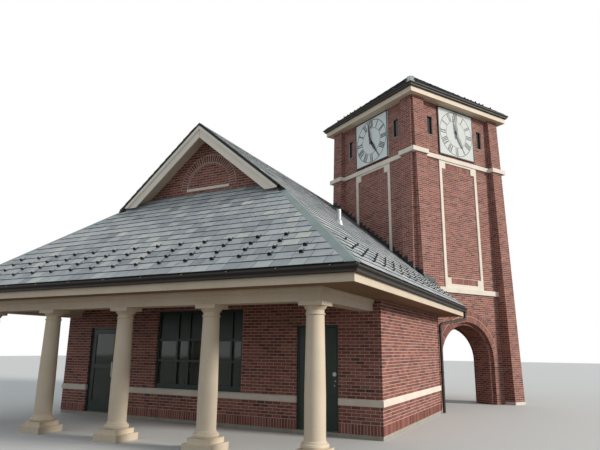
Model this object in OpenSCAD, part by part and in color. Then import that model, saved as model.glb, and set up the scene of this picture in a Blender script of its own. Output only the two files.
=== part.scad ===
// Brick railway station building with a columned porch and a turned clock tower.
// Millimetres, +Z up. The waiting room is centred on the origin, the porch faces -Y.

/* [Waiting room] */
// Width of the building over its side walls
wall_w = 9052; // [8900:20:9200]
// Depth from the front wall to the rear end of the right wall
side_len = 5400; // [5300:10:5500]
// How far the rear wall stands in front of the tower's left corner
rear_in = 22.4; // [10:0.4:60]
// Thickness of the brick walls
wall_t = 300; // [260:10:320]
// Height of the concrete strip under the brick
strip_h = 80; // [60:5:100]
// Height of the finished floor
floor_h = 75; // [60:5:80]
// Underside of the projecting stone band
band_z = 622; // [600:2:640]
// Height of the band's upright face
band_h = 107; // [100:1:115]
// Height of the sloping top of the band
wash_h = 28; // [20:1:34]
// How far the band stands out of the wall
band_out = 28; // [20:1:36]
// How deep the band is bedded in the wall
band_bed = 90; // [80:5:100]
// Top of the front wall, where the porch ceiling meets it
plate_z = 2738; // [2720:2:2760]

/* [Doors and window] */
// Width of both door openings
door_open_w = 980; // [960:5:1000]
// Head of the door openings above the ground
door_head = 2240; // [2220:5:2260]
// Left jamb of the entrance, from the centreline
entrance_x = -3656; // [-3700:5:-3600]
// Left jamb of the steel door, from the centreline
steel_x = 2600; // [2570:5:2620]
// Left jamb of the window, from the centreline
window_x = -1335; // [-1360:5:-1300]
// Width of the window opening
window_w = 2530; // [2500:5:2560]
// Head of the window opening above the ground
window_head = 2618; // [2600:2:2640]
// Level of the transom under the upper panel
transom_z = 1916; // [1900:2:1940]
// Level of the middle bar of the window
bar_z = 1420; // [1400:5:1440]
// Width of the frame members
frame_w = 50; // [45:1:56]
// Depth of the frames in the wall
frame_d = 110; // [100:5:120]
// How far the frames stand behind the wall face
frame_set = 45; // [35:5:60]
// Thickness of the door leaves
leaf_t = 45; // [40:1:48]
// Gap between a door leaf and its frame
leaf_gap = 8; // [7:0.5:10]
// Height of the metal thresholds
threshold_h = 14; // [12:1:16]
// Width of the stiles of the glazed door
stile_w = 115; // [100:5:130]
// Height of the bottom rail of the glazed door
door_rail_h = 260; // [240:5:280]
// Thickness of the panes
glass_t = 8; // [6:1:10]

/* [Porch] */
// Distance from the wall face to the column axes
porch_d = 2477; // [2440:5:2520]
// Spacing of the columns
bay_w = 2102; // [2080:2:2120]
// Diameter of the shafts at the foot
shaft_d = 350; // [340:2:364]
// Diameter of the shafts at the neck
neck_d = 304; // [296:2:312]
// Side of the square abacus
abacus_w = 430; // [416:2:440]
// Side of the square plinth
plinth_w = 460; // [450:2:480]
// Side of the lower pad
pad_w = 580; // [560:5:600]
// Height of the lower pad
pad_h = 130; // [120:5:140]
// Height of the plinth
plinth_h = 85; // [80:1:92]
// Underside of the porch beams
beam_z = 2500; // [2480:2:2510]
// Width of the porch beams
beam_w = 316; // [300:2:330]
// Height of the plain face of the beams
beam_face_h = 145; // [135:1:150]
// How far the crown moulding stands out
crown_out = 42; // [36:1:50]

/* [Roof] */
// Pitch of the roof in degrees
roof_pitch = 39.7; // [39:0.1:40.2]
// Gutter lip beyond the side walls
eave_side = 715; // [700:5:730]
// Gutter lip beyond the column axes
eave_front = 710; // [695:5:725]
// Level of the gutter lip
lip_z = 2980; // [2975:1:2990]
// Width of the gutters
gutter_w = 110; // [104:1:116]
// Height of the gutters
gutter_h = 139; // [135:1:141]
// Thickness of gutter metal
gutter_t = 3; // [2:0.5:4]
// Upright thickness of the slated roof slabs
slab_t = 130; // [124:1:136]
// Thickness of the fascia boards
fascia_t = 25; // [22:1:30]
// Underside of the fascia boards
fascia_z = 2733; // [2728:1:2736]
// Thickness of the soffit boards
soffit_t = 18; // [15:1:22]
// Front edge of the gable roof beyond the front wall
gable_out = 450; // [430:5:470]
// Rear edge of the right slope behind the right wall
verge_out = 900; // [880:5:920]
// Rear edge of the left slope behind the rear wall
rear_out = 250; // [230:5:270]
// Upright depth of the rake boards
rake_h = 330; // [310:5:350]
// Width of the metal hip caps
cap_w = 300; // [280:5:320]
// Thickness of the metal caps
cap_t = 6; // [5:1:8]
// Outer radius of the brick lunette in the gable
lunette_r = 860; // [840:5:880]
// Width of the brick ring of the lunette
lunette_ring = 200; // [190:5:210]
// Level of the lunette sill
lunette_z = 5760; // [5740:5:5780]

/* [Tower] */
// Side of the tower over its pilasters at the belt
tower_w = 4540; // [4520:4:4560]
// Near corner of the tower, in from the right wall face
tower_in = 559.4; // [552:0.4:566]
// Near corner of the tower, behind the end of the right wall
tower_back = 184.1; // [180:0.1:196]
// Turn of the tower in plan, in degrees
tower_turn = -31; // [-31.2:0.1:-30.8]
// Underside of the tower eaves
tower_top = 10125; // [10110:5:10160]
// Depth of the wall behind the pilaster faces
recess = 182; // [170:2:190]
// Set-in of the pilasters from the corner
corner_in = 108; // [100:2:116]
// Width of the pilasters
pilaster_w = 491; // [480:1:500]
// Extra projection of the pilasters at the ground
batter_foot = 200; // [190:5:205]
// Loss of projection of the pilasters at the eaves
batter_top = 48; // [40:2:56]
// Thickness of the tower walls above the arch
shaft_t = 330; // [300:10:360]
// Radius of the passage through the tower
passage_r = 1140; // [1120:5:1150]
// Springing level of the arch
spring_z = 1398; // [1380:2:1420]
// Width of one brick ring of the arch
ring_w = 192; // [186:1:194]
// Depth of the stepped order behind the rings
order_d = 110; // [100:5:120]
// Underside of the stone sill course
sill_z = 3558; // [3540:2:3580]
// Height of the stone sill course
sill_h = 165; // [155:1:175]
// Underside of the stone belt
belt_z = 8085; // [8070:5:8100]
// Height of the stone belt
belt_h = 150; // [140:2:155]
// How far the stone belt stands out
belt_out = 62; // [54:2:70]
// Half width of the stone frame of the brick panel
panel_half = 930; // [910:5:940]
// Width of the upright stone strips
strip_w = 114; // [106:2:120]
// Width of the square blocks at the corners of the stone frame
ear_w = 285; // [275:5:295]
// Height of the lower corner blocks
foot_block_h = 316; // [305:2:325]
// Height of the bottom rail of the stone frame
foot_rail_h = 124; // [118:2:130]
// Height of the upper corner blocks
head_block_h = 285; // [275:5:295]
// Height of the top rail of the stone frame
head_rail_h = 70; // [64:2:76]
// How far the stone frame stands out
frame_out = 30; // [24:2:36]
// Width of the slit windows beside the clocks
slit_w = 200; // [190:5:210]
// Height of the slit windows
slit_h = 625; // [610:5:640]
// Sill level of the slit windows
slit_z = 8930; // [8910:5:8950]
// Distance of the slit windows from the middle of a face
slit_x = 1262; // [1250:2:1270]

/* [Clocks] */
// Height of the clock panels above the stone belt
clock_lift = 85; // [70:5:95]
// Side of the square clock panels
clock_w = 1776; // [1760:4:1780]
// Thickness of the clock panels
clock_t = 40; // [36:1:44]
// Reach of the minute hands
minute_r = 735; // [720:5:750]
// Reach of the hour hands
hour_r = 558; // [540:5:570]
// Turn of the minute hands from twelve, in degrees
minute_turn = -7.5; // [-9:0.5:-6]
// Turn of the hour hands from twelve, in degrees
hour_turn = 149.4; // [149:0.1:150]
// Thickness of the hands
hand_t = 8; // [6:1:9]
// Free space between dial, hour hand and minute hand
hand_gap = 24; // [18:1:28]

/* [Hidden] */
fit = 0.3;
half_w = wall_w / 2;
front_y = -side_len / 2;
right_end_y = side_len / 2;
half_t = tower_w / 2;
tower_x = half_w - tower_in - half_t * (cos(tower_turn) + sin(tower_turn));
tower_y = right_end_y + tower_back + half_t * (cos(tower_turn) - sin(tower_turn));
rear_y = tower_y - half_t * (cos(tower_turn) + sin(tower_turn)) - rear_in;
deep_len = rear_y - front_y;
col_y = front_y - porch_d;
k = tan(roof_pitch);
lip_x = half_w + eave_side;
lip_y = col_y - eave_front;
edge_in = 66;
edge_x = lip_x - edge_in;
edge_y = lip_y + edge_in;
fascia_x = lip_x - gutter_w;
fascia_y = lip_y + gutter_w;
ridge_z = lip_z + k * lip_x;
gable_y = front_y - gable_out;
verge_y = right_end_y + verge_out;
rear_verge_y = rear_y + rear_out;
band_top = band_z + band_h + wash_h;
room_end_in = 900;
room_end_x = tower_x - room_end_in;
band_end_x = 900;
slope_run = 12000;
core = half_t - recess;
bay_half = half_t - corner_in - pilaster_w;
sill_out = 60;
sill_bed = 70;
belt_bed = 90;
ring_in = passage_r + 100;
ring_out = ring_in + 2 * ring_w;
far = 30000;

brick = [0.56, 0.27, 0.22];
stone = [0.86, 0.82, 0.74];
cream = [0.88, 0.80, 0.66];
tan_paint = [0.66, 0.55, 0.42];
slate = [0.42, 0.43, 0.42];
bronze = [0.20, 0.19, 0.17];
dark_green = [0.05, 0.12, 0.09];

// Height of the top of the side slopes at a distance from the centreline
function side_top(x) = lip_z + k * (lip_x - abs(x));

// Height of the top of the front slope at a given y
function front_top(y) = lip_z + k * (y - lip_y);

// Slab that falls along +X and reaches its lip at edge and z
module sloped_slab(edge, z, pitch, t) {
    translate([edge, 0, z])
        rotate([0, pitch, 0])
            translate([-slope_run, -far / 2, -t * cos(pitch)])
                cube([slope_run + 800, far, t * cos(pitch)]);
}

// Piece of a falling slab over a plan outline
module roof_piece(plan, turn, edge, z, pitch, t) {
    intersection() {
        linear_extrude(far / 2)
            polygon(plan);
        rotate([0, 0, turn])
            sloped_slab(edge, z, pitch, t);
    }
}

// Upright wall of a given section, laid along +X with its outer face towards -Y
module wall_run(section, length) {
    rotate([90, 0, 90])
        linear_extrude(length)
            polygon(section);
}

// Wall section from the strip to given heights of its outer and inner face
function wall_section(z_out, z_in) = [
    [0, strip_h], [wall_t, strip_h], [wall_t, z_in], [0, z_out],
    [0, band_top], [band_bed, band_top], [band_bed, band_z], [0, band_z]];

// Box between two corners
module block(a, b) {
    translate(a)
        cube(b - a);
}

// Places children in the tower's own frame
module on_tower() {
    translate([tower_x, tower_y, 0])
        rotate([0, 0, tower_turn])
            children();
}

// Puts children, drawn for a face that looks to +Y, on the face turned by a
module on_face(a) {
    rotate([0, 0, a])
        children();
}

// Pilaster with its outer face battered, on the +Y face
module pilaster(s0, grow) {
    translate([s0 - grow, half_t, 0])
        rotate([90, 0, 90])
            linear_extrude(pilaster_w + 2 * grow)
                polygon([[-recess - 20, 0], [batter_foot + grow, 0],
                    [-batter_top + grow, tower_top], [-recess - 20, tower_top]]);
}

// Two battered pilasters on each face of the tower
module pilasters(grow) {
    for (a = [0:90:270]) {
        on_face(a) {
            pilaster(half_t - corner_in - pilaster_w, grow);
            pilaster(-half_t + corner_in, grow);
        }
    }
}

// Whole solid of the tower up to its eaves, for what is cut to fit it
module tower_mass(grow) {
    on_tower() {
        translate([-core - grow, -core - grow, -10])
            cube([2 * (core + grow), 2 * (core + grow), tower_top + 10]);
        translate([0, 0, -5])
            pilasters(grow);
        for (a = [0:90:270])
            on_face(a) {
                block([-bay_half - 1, core - 1, sill_z - grow],
                    [bay_half + 1, core + sill_out + grow, sill_z + sill_h + grow]);
                translate([0, core + frame_out + grow, 0])
                    rotate([90, 0, 0])
                        linear_extrude(frame_out + grow)
                            panel_frame_2d(grow);
            }
    }
    base_blocks(grow);
}

// Outline of the stone frame on a face, with its foot and head blocks
module panel_frame_2d(grow) {
    z0 = sill_z + sill_h + fit;
    z1 = belt_z - fit;
    w_side = panel_half - strip_w - grow;
    w_mid = panel_half - ear_w - grow;
    difference() {
        translate([-panel_half - grow, z0])
            square([2 * (panel_half + grow), z1 - z0]);
        translate([-w_side, z0 + foot_block_h + grow])
            square([2 * w_side, z1 - z0 - foot_block_h - head_block_h - 2 * grow]);
        translate([-w_mid, z0 + foot_rail_h + grow])
            square([2 * w_mid, z1 - z0 - foot_rail_h - head_rail_h - 2 * grow]);
    }
}

// Outline of the arched opening of a given radius, in face coordinates
module arch_2d(r) {
    translate([0, spring_z])
        intersection() {
            circle(r = r, $fn = 96);
            translate([-r, 0])
                square([2 * r, r]);
        }
    translate([-r, 0])
        square([2 * r, spring_z]);
}

// Inner plan of the waiting room, up to the tower
module room_plan() {
    polygon([[-half_w + wall_t, front_y + wall_t], [half_w - wall_t, front_y + wall_t],
        [half_w - wall_t, right_end_y - wall_t], [room_end_x, right_end_y - wall_t],
        [room_end_x, rear_y - wall_t], [-half_w + wall_t, rear_y - wall_t]]);
}

module floor_slab() {
    color([0.6, 0.58, 0.55])
    difference() {
        linear_extrude(floor_h)
            room_plan();
        tower_mass(fit);
    }
}

module foundation_strip() {
    color([0.62, 0.60, 0.55])
    difference() {
        linear_extrude(strip_h)
            polygon([[-half_w, front_y], [half_w, front_y], [half_w, right_end_y],
                [tower_x, right_end_y], [tower_x, rear_y], [-half_w, rear_y]]);
        translate([0, 0, -1])
            linear_extrude(strip_h + 2)
                room_plan();
        tower_mass(fit);
    }
}

module front_piece(x0, x1) {
    difference() {
        translate([x0, front_y, 0])
            wall_run(wall_section(plate_z, plate_z), x1 - x0);
        for (m = [0, 1])
            mirror([m, 0, 0])
                block([half_w - band_bed, front_y - 1, band_z], [half_w + 1, front_y + wall_t + 1, band_top]);
    }
}

module front_wall_left() {
    color(brick)
        front_piece(-half_w, entrance_x);
}

module front_wall_middle() {
    color(brick)
    difference() {
        front_piece(entrance_x + door_open_w, steel_x);
        block([window_x, front_y - 10, band_top], [window_x + window_w, front_y + wall_t + 10, window_head]);
    }
}

module front_wall_right() {
    color(brick)
        front_piece(steel_x + door_open_w, half_w);
}

module door_head_walls() {
    color(brick)
    for (x = [entrance_x, steel_x])
        block([x, front_y, door_head], [x + door_open_w, front_y + wall_t, plate_z]);
}

// Side wall whose top follows the underside of the roof
module side_wall(y0, y1) {
    translate([half_w, y0, 0])
        rotate([0, 0, 90])
            wall_run(wall_section(side_top(half_w) - slab_t - fit,
                side_top(half_w - wall_t) - slab_t - fit), y1 - y0);
}

module right_wall() {
    color(brick)
        side_wall(front_y + wall_t, right_end_y);
}

module left_wall() {
    color(brick)
        mirror([1, 0, 0])
            side_wall(front_y + wall_t, rear_y - wall_t);
}

return_x0 = tower_x + 100;
return_x1 = tower_x + 570;
return_d = 500;
rear_end_x = 800;

module rear_walls() {
    z_side = side_top(half_w) - slab_t - fit;
    color(brick)
    difference() {
        translate([0, rear_y, 0])
            rotate([90, 0, 0])
                linear_extrude(wall_t)
                    polygon([[-half_w, strip_h], [rear_end_x, strip_h],
                        [rear_end_x, side_top(rear_end_x) - slab_t - fit],
                        [0, side_top(0) - slab_t - fit], [-half_w, z_side]]);
        block([-half_w - 1, rear_y - band_bed, band_z], [band_end_x, rear_y + 1, band_top]);
        block([-half_w - 1, rear_y - wall_t - 1, band_z], [-half_w + band_bed, rear_y + 1, band_top]);
        tower_mass(fit);
    }
    color(brick)
        rear_return();
}

// Short return of the rear wall between the right wall and the tower
module rear_return() {
    difference() {
        intersection() {
            translate([0, 0, strip_h])
                linear_extrude(far)
                    polygon([[half_w - wall_t, right_end_y - wall_t], [half_w - wall_t, right_end_y],
                        [return_x1, right_end_y], [return_x1, right_end_y + return_d],
                        [return_x0, right_end_y + return_d], [return_x0, right_end_y - wall_t]]);
            sloped_slab(lip_x, lip_z - slab_t - fit, roof_pitch, slope_run);
        }
        tower_mass(fit);
    }
}

// Stone band section, from its bed to its sloping top
band_section = [[-band_out, band_z], [band_bed, band_z], [band_bed, band_top],
    [0, band_top], [-band_out, band_top - wash_h]];

module stone_band() {
    color(stone) {
        difference() {
            union() {
                translate([steel_x + door_open_w, front_y, 0])
                    wall_run(band_section, half_w - steel_x - door_open_w + band_out);
                translate([half_w, front_y - band_out, 0])
                    rotate([0, 0, 90])
                        wall_run(band_section, side_len + band_out);
            }
            mitre_cut();
        }
        translate([entrance_x + door_open_w, front_y, 0])
            wall_run(band_section, steel_x - entrance_x - door_open_w);
        mirror([1, 0, 0])
        difference() {
            union() {
                translate([-entrance_x, front_y, 0])
                    wall_run(band_section, half_w + entrance_x + band_out);
                translate([half_w, front_y - band_out, 0])
                    rotate([0, 0, 90])
                        wall_run(band_section, deep_len + 2 * band_out);
            }
            mitre_cut();
        }
        difference() {
            translate([band_end_x, rear_y, 0])
                rotate([0, 0, 180])
                    wall_run(band_section, band_end_x + half_w - band_bed - fit);
            tower_mass(fit);
        }
    }
}

// Trims the outer corner of the sloping top of the band
module mitre_cut() {
    translate([half_w, front_y, band_top])
        rotate([0, 0, -45])
            translate([band_out * 1.5, -100, -fit])
                cube([100, 200, 10]);
}

// Width of the door stops, and their distance behind the leaf's own depth
stop_w = 14;
stop_gap = 20;

// Frame of a doorway, with its left jamb at x
module door_frame(x) {
    difference() {
        block([x, front_y + frame_set, strip_h],
            [x + door_open_w, front_y + frame_set + frame_d, door_head]);
        block([x + frame_w, front_y, strip_h - 1],
            [x + door_open_w - frame_w, front_y + wall_t, door_head - frame_w]);
    }
    block([x + frame_w, front_y + frame_set, strip_h],
        [x + door_open_w - frame_w, front_y + frame_set + frame_d, strip_h + threshold_h]);
    block([x + frame_w - 1, front_y + frame_set + leaf_t + stop_gap, strip_h],
        [x + frame_w + stop_w, front_y + frame_set + frame_d, door_head - frame_w]);
    block([x + door_open_w - frame_w - stop_w, front_y + frame_set + leaf_t + stop_gap, strip_h],
        [x + door_open_w - frame_w + 1, front_y + frame_set + frame_d, door_head - frame_w]);
}

leaf_w = door_open_w - 2 * frame_w - 2 * leaf_gap;
leaf_z0 = strip_h + threshold_h + leaf_gap;
leaf_z1 = door_head - frame_w - leaf_gap;
leaf_in = 5;
leaf_y = front_y + frame_set + leaf_in;
glass_y = leaf_y + (leaf_t - glass_t) / 2;
mid_rail_z = 1236;
mid_rail_half = 50;
hinge_r = 8;
hinge_pin_r = 4;
hinge_seg = 38;
hinge_plate_t = 3.4;
hinge_plate_w = 40;
// Centre of a door's hinge pins across the gap, for a frame with its left jamb at x
function hinge_x(x) = x + frame_w + leaf_gap / 2;
hinge_y = front_y + frame_set - hinge_r - 1;
hinge_low = 220;
hinge_high = 180;
hinge_zs = [leaf_z0 + hinge_low, (leaf_z0 + leaf_z1) / 2, leaf_z1 - hinge_high];

// One segment of a hinge with the plate that holds it to the side at s
module hinge_part(x, z, s) {
    translate([hinge_x(x), hinge_y, z])
        cylinder(h = hinge_seg, r = hinge_r, $fn = 48);
    translate([hinge_x(x) + (s < 0 ? -leaf_gap / 2 - 1 : leaf_gap / 2 - hinge_plate_t), hinge_y, z])
        cube([hinge_plate_t + 1, hinge_plate_w, hinge_seg]);
}

// Pins and outer segments of the three hinges, on the frame
module frame_hinges(x) {
    for (z = hinge_zs) {
        for (s = [-1, 1])
            hinge_part(x, z - hinge_seg / 2 + s * (hinge_seg + fit), -1);
        translate([hinge_x(x), hinge_y, z - hinge_seg])
            cylinder(h = 2 * hinge_seg, r = hinge_pin_r, $fn = 48);
    }
}

// Middle segments of the three hinges, bored for the pins, on the leaf
module leaf_hinges(x) {
    for (z = hinge_zs)
        difference() {
            hinge_part(x, z - hinge_seg / 2, 1);
            translate([hinge_x(x), hinge_y, z - hinge_seg])
                cylinder(h = 2 * hinge_seg, r = hinge_pin_r + fit, $fn = 48);
        }
}

module door_frames() {
    color(dark_green) {
        for (x = [entrance_x, steel_x]) {
            door_frame(x);
            frame_hinges(x);
        }
    }
}

module steel_door() {
    x0 = steel_x + frame_w + leaf_gap;
    color(dark_green) {
        block([x0, leaf_y, leaf_z0], [x0 + leaf_w, leaf_y + leaf_t, leaf_z1]);
        leaf_hinges(steel_x);
    }
}

module entrance_door() {
    x0 = entrance_x + frame_w + leaf_gap;
    color(dark_green)
        leaf_hinges(entrance_x);
    color(dark_green)
    difference() {
        block([x0, leaf_y, leaf_z0], [x0 + leaf_w, leaf_y + leaf_t, leaf_z1]);
        block([x0 + stile_w, leaf_y - 1, leaf_z0 + door_rail_h],
            [x0 + leaf_w - stile_w, leaf_y + leaf_t + 1, mid_rail_z - mid_rail_half]);
        block([x0 + stile_w, leaf_y - 1, mid_rail_z + mid_rail_half],
            [x0 + leaf_w - stile_w, leaf_y + leaf_t + 1, leaf_z1 - stile_w]);
    }
}

module entrance_glass() {
    x0 = entrance_x + frame_w + leaf_gap;
    color([0.3, 0.4, 0.4])
    for (z = [[leaf_z0 + door_rail_h, mid_rail_z - mid_rail_half],
        [mid_rail_z + mid_rail_half, leaf_z1 - stile_w]])
        block([x0 + stile_w + fit, glass_y, z[0] + fit],
            [x0 + leaf_w - stile_w - fit, glass_y + glass_t, z[1] - fit]);
}

win_x1 = window_x + window_w;
mullions = [window_x + 611, window_x + 965, window_x + 1560, window_x + 2203];
win_y = front_y + frame_set;
sill_rail_h = 110;
bar_half = 25;
transom_half = 30;
pane_in = 50;
panel_in = 35;
panel_t = 30;
low_lights = [band_top + sill_rail_h, bar_z - bar_half];
high_lights = [bar_z + bar_half, transom_z - transom_half];
panel_lights = [transom_z + transom_half, window_head - frame_w];

module window_frame() {
    color(dark_green)
    difference() {
        block([window_x, win_y, band_top], [win_x1, win_y + frame_d, window_head]);
        for (i = [0:4]) {
            xa = i == 0 ? window_x + frame_w : mullions[i - 1] + frame_w / 2;
            xb = i == 4 ? win_x1 - frame_w : mullions[i] - frame_w / 2;
            for (z = [low_lights, high_lights, panel_lights])
                block([xa, win_y - 1, z[0]], [xb, win_y + frame_d + 1, z[1]]);
        }
    }
}

// Panes or panels in the openings of the window frame between the two levels of z
module window_fill(z, y0, t) {
    for (i = [0:4]) {
        xa = i == 0 ? window_x + frame_w : mullions[i - 1] + frame_w / 2;
        xb = i == 4 ? win_x1 - frame_w : mullions[i] - frame_w / 2;
        block([xa + fit, y0, z[0] + fit], [xb - fit, y0 + t, z[1] - fit]);
    }
}

module window_glass() {
    color([0.3, 0.4, 0.4]) {
        window_fill(low_lights, win_y + pane_in, glass_t);
        window_fill(high_lights, win_y + pane_in, glass_t);
    }
}

module window_panels() {
    color(dark_green)
        window_fill(panel_lights, win_y + panel_in, panel_t);
}

plinth_z = pad_h + plinth_h;
abacus_h = 70;
abacus_z = beam_z - abacus_h;
torus_r = 230;
torus_h = 85;
fillet_r = 192;
fillet_h = 18;
entasis_h = 800;
collar_out = 18;
collar_h = 26;
necking_h = 118;
echinus_h = 60;
echinus_out = 48;
// Radius and height of each turn of the round base, shaft and capital
column_profile = [[0, plinth_z], [torus_r * 0.89, plinth_z], [torus_r * 0.965, plinth_z + torus_h * 0.16],
    [torus_r, plinth_z + torus_h * 0.5], [torus_r * 0.965, plinth_z + torus_h * 0.84],
    [torus_r * 0.89, plinth_z + torus_h], [fillet_r, plinth_z + torus_h], [fillet_r, plinth_z + torus_h + fillet_h],
    [shaft_d / 2, plinth_z + torus_h + 2 * fillet_h], [shaft_d / 2, plinth_z + entasis_h],
    [neck_d / 2, abacus_z - necking_h - collar_h - 6],
    [neck_d / 2 + collar_out * 0.8, abacus_z - necking_h - collar_h],
    [neck_d / 2 + collar_out, abacus_z - necking_h - collar_h * 0.6],
    [neck_d / 2 + collar_out * 0.8, abacus_z - necking_h - collar_h * 0.2], [neck_d / 2, abacus_z - necking_h],
    [neck_d / 2, abacus_z - echinus_h - 6], [neck_d / 2 + echinus_out * 0.25, abacus_z - echinus_h],
    [neck_d / 2 + echinus_out * 0.63, abacus_z - echinus_h * 0.57],
    [neck_d / 2 + echinus_out * 0.96, abacus_z - echinus_h * 0.13], [neck_d / 2 + echinus_out, abacus_z],
    [0, abacus_z]];

module column() {
    rotate_extrude($fn = 96)
        polygon(column_profile);
    translate([-plinth_w / 2, -plinth_w / 2, pad_h])
        cube([plinth_w, plinth_w, plinth_h]);
    translate([-pad_w / 2, -pad_w / 2, 0])
        cube([pad_w, pad_w, pad_h]);
    translate([-abacus_w / 2, -abacus_w / 2, abacus_z])
        cube([abacus_w, abacus_w, beam_z - abacus_z]);
}

module porch_columns() {
    color(cream)
    for (i = [-2:2])
        translate([i * bay_w, col_y, 0])
            column();
}

beam_top = plate_z;
beam_section = [[-beam_w / 2, beam_z], [beam_w / 2, beam_z], [beam_w / 2, beam_z + beam_face_h],
    [beam_w / 2 + crown_out * 0.4, beam_z + beam_face_h + 12],
    [beam_w / 2 + crown_out * 0.6, beam_z + beam_face_h + 40],
    [beam_w / 2 + crown_out, beam_z + beam_face_h + 64], [beam_w / 2 + crown_out, beam_top],
    [-beam_w / 2 - crown_out, beam_top], [-beam_w / 2 - crown_out, beam_z + beam_face_h + 64],
    [-beam_w / 2 - crown_out * 0.6, beam_z + beam_face_h + 40],
    [-beam_w / 2 - crown_out * 0.4, beam_z + beam_face_h + 12], [-beam_w / 2, beam_z + beam_face_h]];

module porch_beams() {
    x_end = 2 * bay_w + beam_w / 2 + crown_out;
    color(cream)
    intersection() {
        union() {
            translate([-x_end, col_y, 0])
                wall_run(beam_section, 2 * x_end);
            for (s = [-1, 1])
                translate([s * 2 * bay_w, col_y, 0])
                    rotate([0, 0, 90])
                        wall_run(beam_section, porch_d - fit);
        }
        union() {
            block([-x_end, col_y - beam_w, beam_z + beam_face_h], [x_end, front_y, beam_top]);
            block([-x_end + crown_out, col_y - beam_w / 2, beam_z],
                [x_end - crown_out, front_y, beam_z + beam_face_h]);
        }
    }
}

// Boards under the gable roof, in front of the gable wall
module gable_soffit() {
    for (m = [0, 1])
        mirror([m, 0, 0])
            difference() {
                intersection() {
                    sloped_slab(lip_x, lip_z - slab_t - fit, roof_pitch, soffit_t / cos(roof_pitch));
                    block([0, gable_y, plate_z], [hip_top_x, front_y - fit, far]);
                }
                rotate([0, 0, -90])
                    sloped_slab(-lip_y, lip_z + fit, roof_pitch, slope_run);
            }
}

module soffit() {
    color(tan_paint)
        gable_soffit();
    color(tan_paint)
    difference() {
        translate([0, 0, plate_z])
            linear_extrude(soffit_t)
                union() {
                        polygon([[-fascia_x + fascia_t, fascia_y + fascia_t],
                            [fascia_x - fascia_t, fascia_y + fascia_t], [fascia_x - fascia_t, front_y],
                            [-fascia_x + fascia_t, front_y]]);
                        translate([half_w, front_y])
                            square([fascia_x - fascia_t - half_w, verge_y - fascia_t - front_y]);
                        translate([return_x1 - 70, right_end_y])
                            square([half_w - return_x1 + 70, verge_y - fascia_t - right_end_y]);
                        translate([-fascia_x + fascia_t, front_y])
                            square([fascia_x - fascia_t - half_w, rear_verge_y - fascia_t - front_y]);
                }
        tower_mass(fit);
        block([tower_x, right_end_y, 0], [return_x1, right_end_y + return_d, far]);
    }
}

verge_in_x = half_w - 400;
rear_verge_x = half_w - 60;

module fascia() {
    z1 = side_top(fascia_x) - slab_t - fit;
    color(cream) {
        translate([0, 0, fascia_z])
            linear_extrude(z1 - fascia_z) {
                polygon([[-fascia_x, fascia_y], [fascia_x, fascia_y],
                    [fascia_x - fascia_t, fascia_y + fascia_t], [-fascia_x + fascia_t, fascia_y + fascia_t]]);
                for (s = [[1, verge_y], [-1, rear_verge_y]])
                    polygon([[s[0] * fascia_x, fascia_y + fit], [s[0] * fascia_x, s[1]],
                        [s[0] * (fascia_x - fascia_t), s[1]],
                        [s[0] * (fascia_x - fascia_t), fascia_y + fascia_t + fit]]);
            }
        difference() {
            translate([0, verge_y, 0])
                rotate([90, 0, 0])
                    linear_extrude(fascia_t)
                        polygon([[fascia_x - fascia_t - fit, fascia_z], [fascia_x - fascia_t - fit, z1],
                            [verge_in_x, side_top(verge_in_x) - slab_t - fit], [verge_in_x, fascia_z]]);
            tower_mass(fit);
        }
        translate([0, rear_verge_y, 0])
            rotate([90, 0, 0])
                linear_extrude(fascia_t)
                    polygon([[-fascia_x + fascia_t + fit, fascia_z], [-fascia_x + fascia_t + fit, z1],
                        [-rear_verge_x, side_top(rear_verge_x) - slab_t - fit], [-rear_verge_x, fascia_z]]);
    }
}

gutter_z = lip_z - gutter_h;

// Outer line of the moulded gutter from its back to its lip, as distance from the fascia and height
gutter_line = [[0, gutter_h * 0.65], [0, 0], [gutter_w * 0.55, 0], [gutter_w * 0.61, gutter_h * 0.06],
    [gutter_w * 0.63, gutter_h * 0.3], [gutter_w * 0.7, gutter_h * 0.48], [gutter_w * 0.88, gutter_h * 0.62],
    [gutter_w * 0.97, gutter_h * 0.74], [gutter_w, gutter_h * 0.86], [gutter_w, gutter_h]];
// The same line moved in by the thickness of the metal
gutter_inner = [[gutter_t, gutter_h * 0.65], [gutter_t, gutter_t],
    for (i = [2:7]) gutter_line[i] + [-gutter_t, gutter_t],
    [gutter_w - gutter_t, gutter_h * 0.86], [gutter_w - gutter_t, gutter_h]];

// Straight gutter along +X with its trough towards -Y
module gutter_run(length) {
    n = len(gutter_line) - 1;
    section = concat(gutter_line, [for (i = [n:-1:0]) gutter_inner[i]]);
    wall_run([for (p = section) [-p[0], p[1]]], length);
}

// Closed end of a gutter along +X, shaped to pass under the roof edge
module gutter_end() {
    under = gutter_h - (slab_t - k * edge_in) - fit;
    difference() {
        wall_run([for (p = gutter_line) [-p[0], p[1]]], gutter_t);
        block([-1, -edge_x + fascia_x - fit, under], [gutter_t + 1, 1, gutter_h + 1]);
    }
}

// Plan of a gutter run of half length a along the front of a fascia, mitred at one or both ends
module mitred(a, left, right) {
    polygon([[left ? -a : -far, 0], [right ? a : far, 0], [right ? a + 2 * gutter_w : far, -2 * gutter_w],
        [left ? -a - 2 * gutter_w : -far, -2 * gutter_w]]);
}

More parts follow.
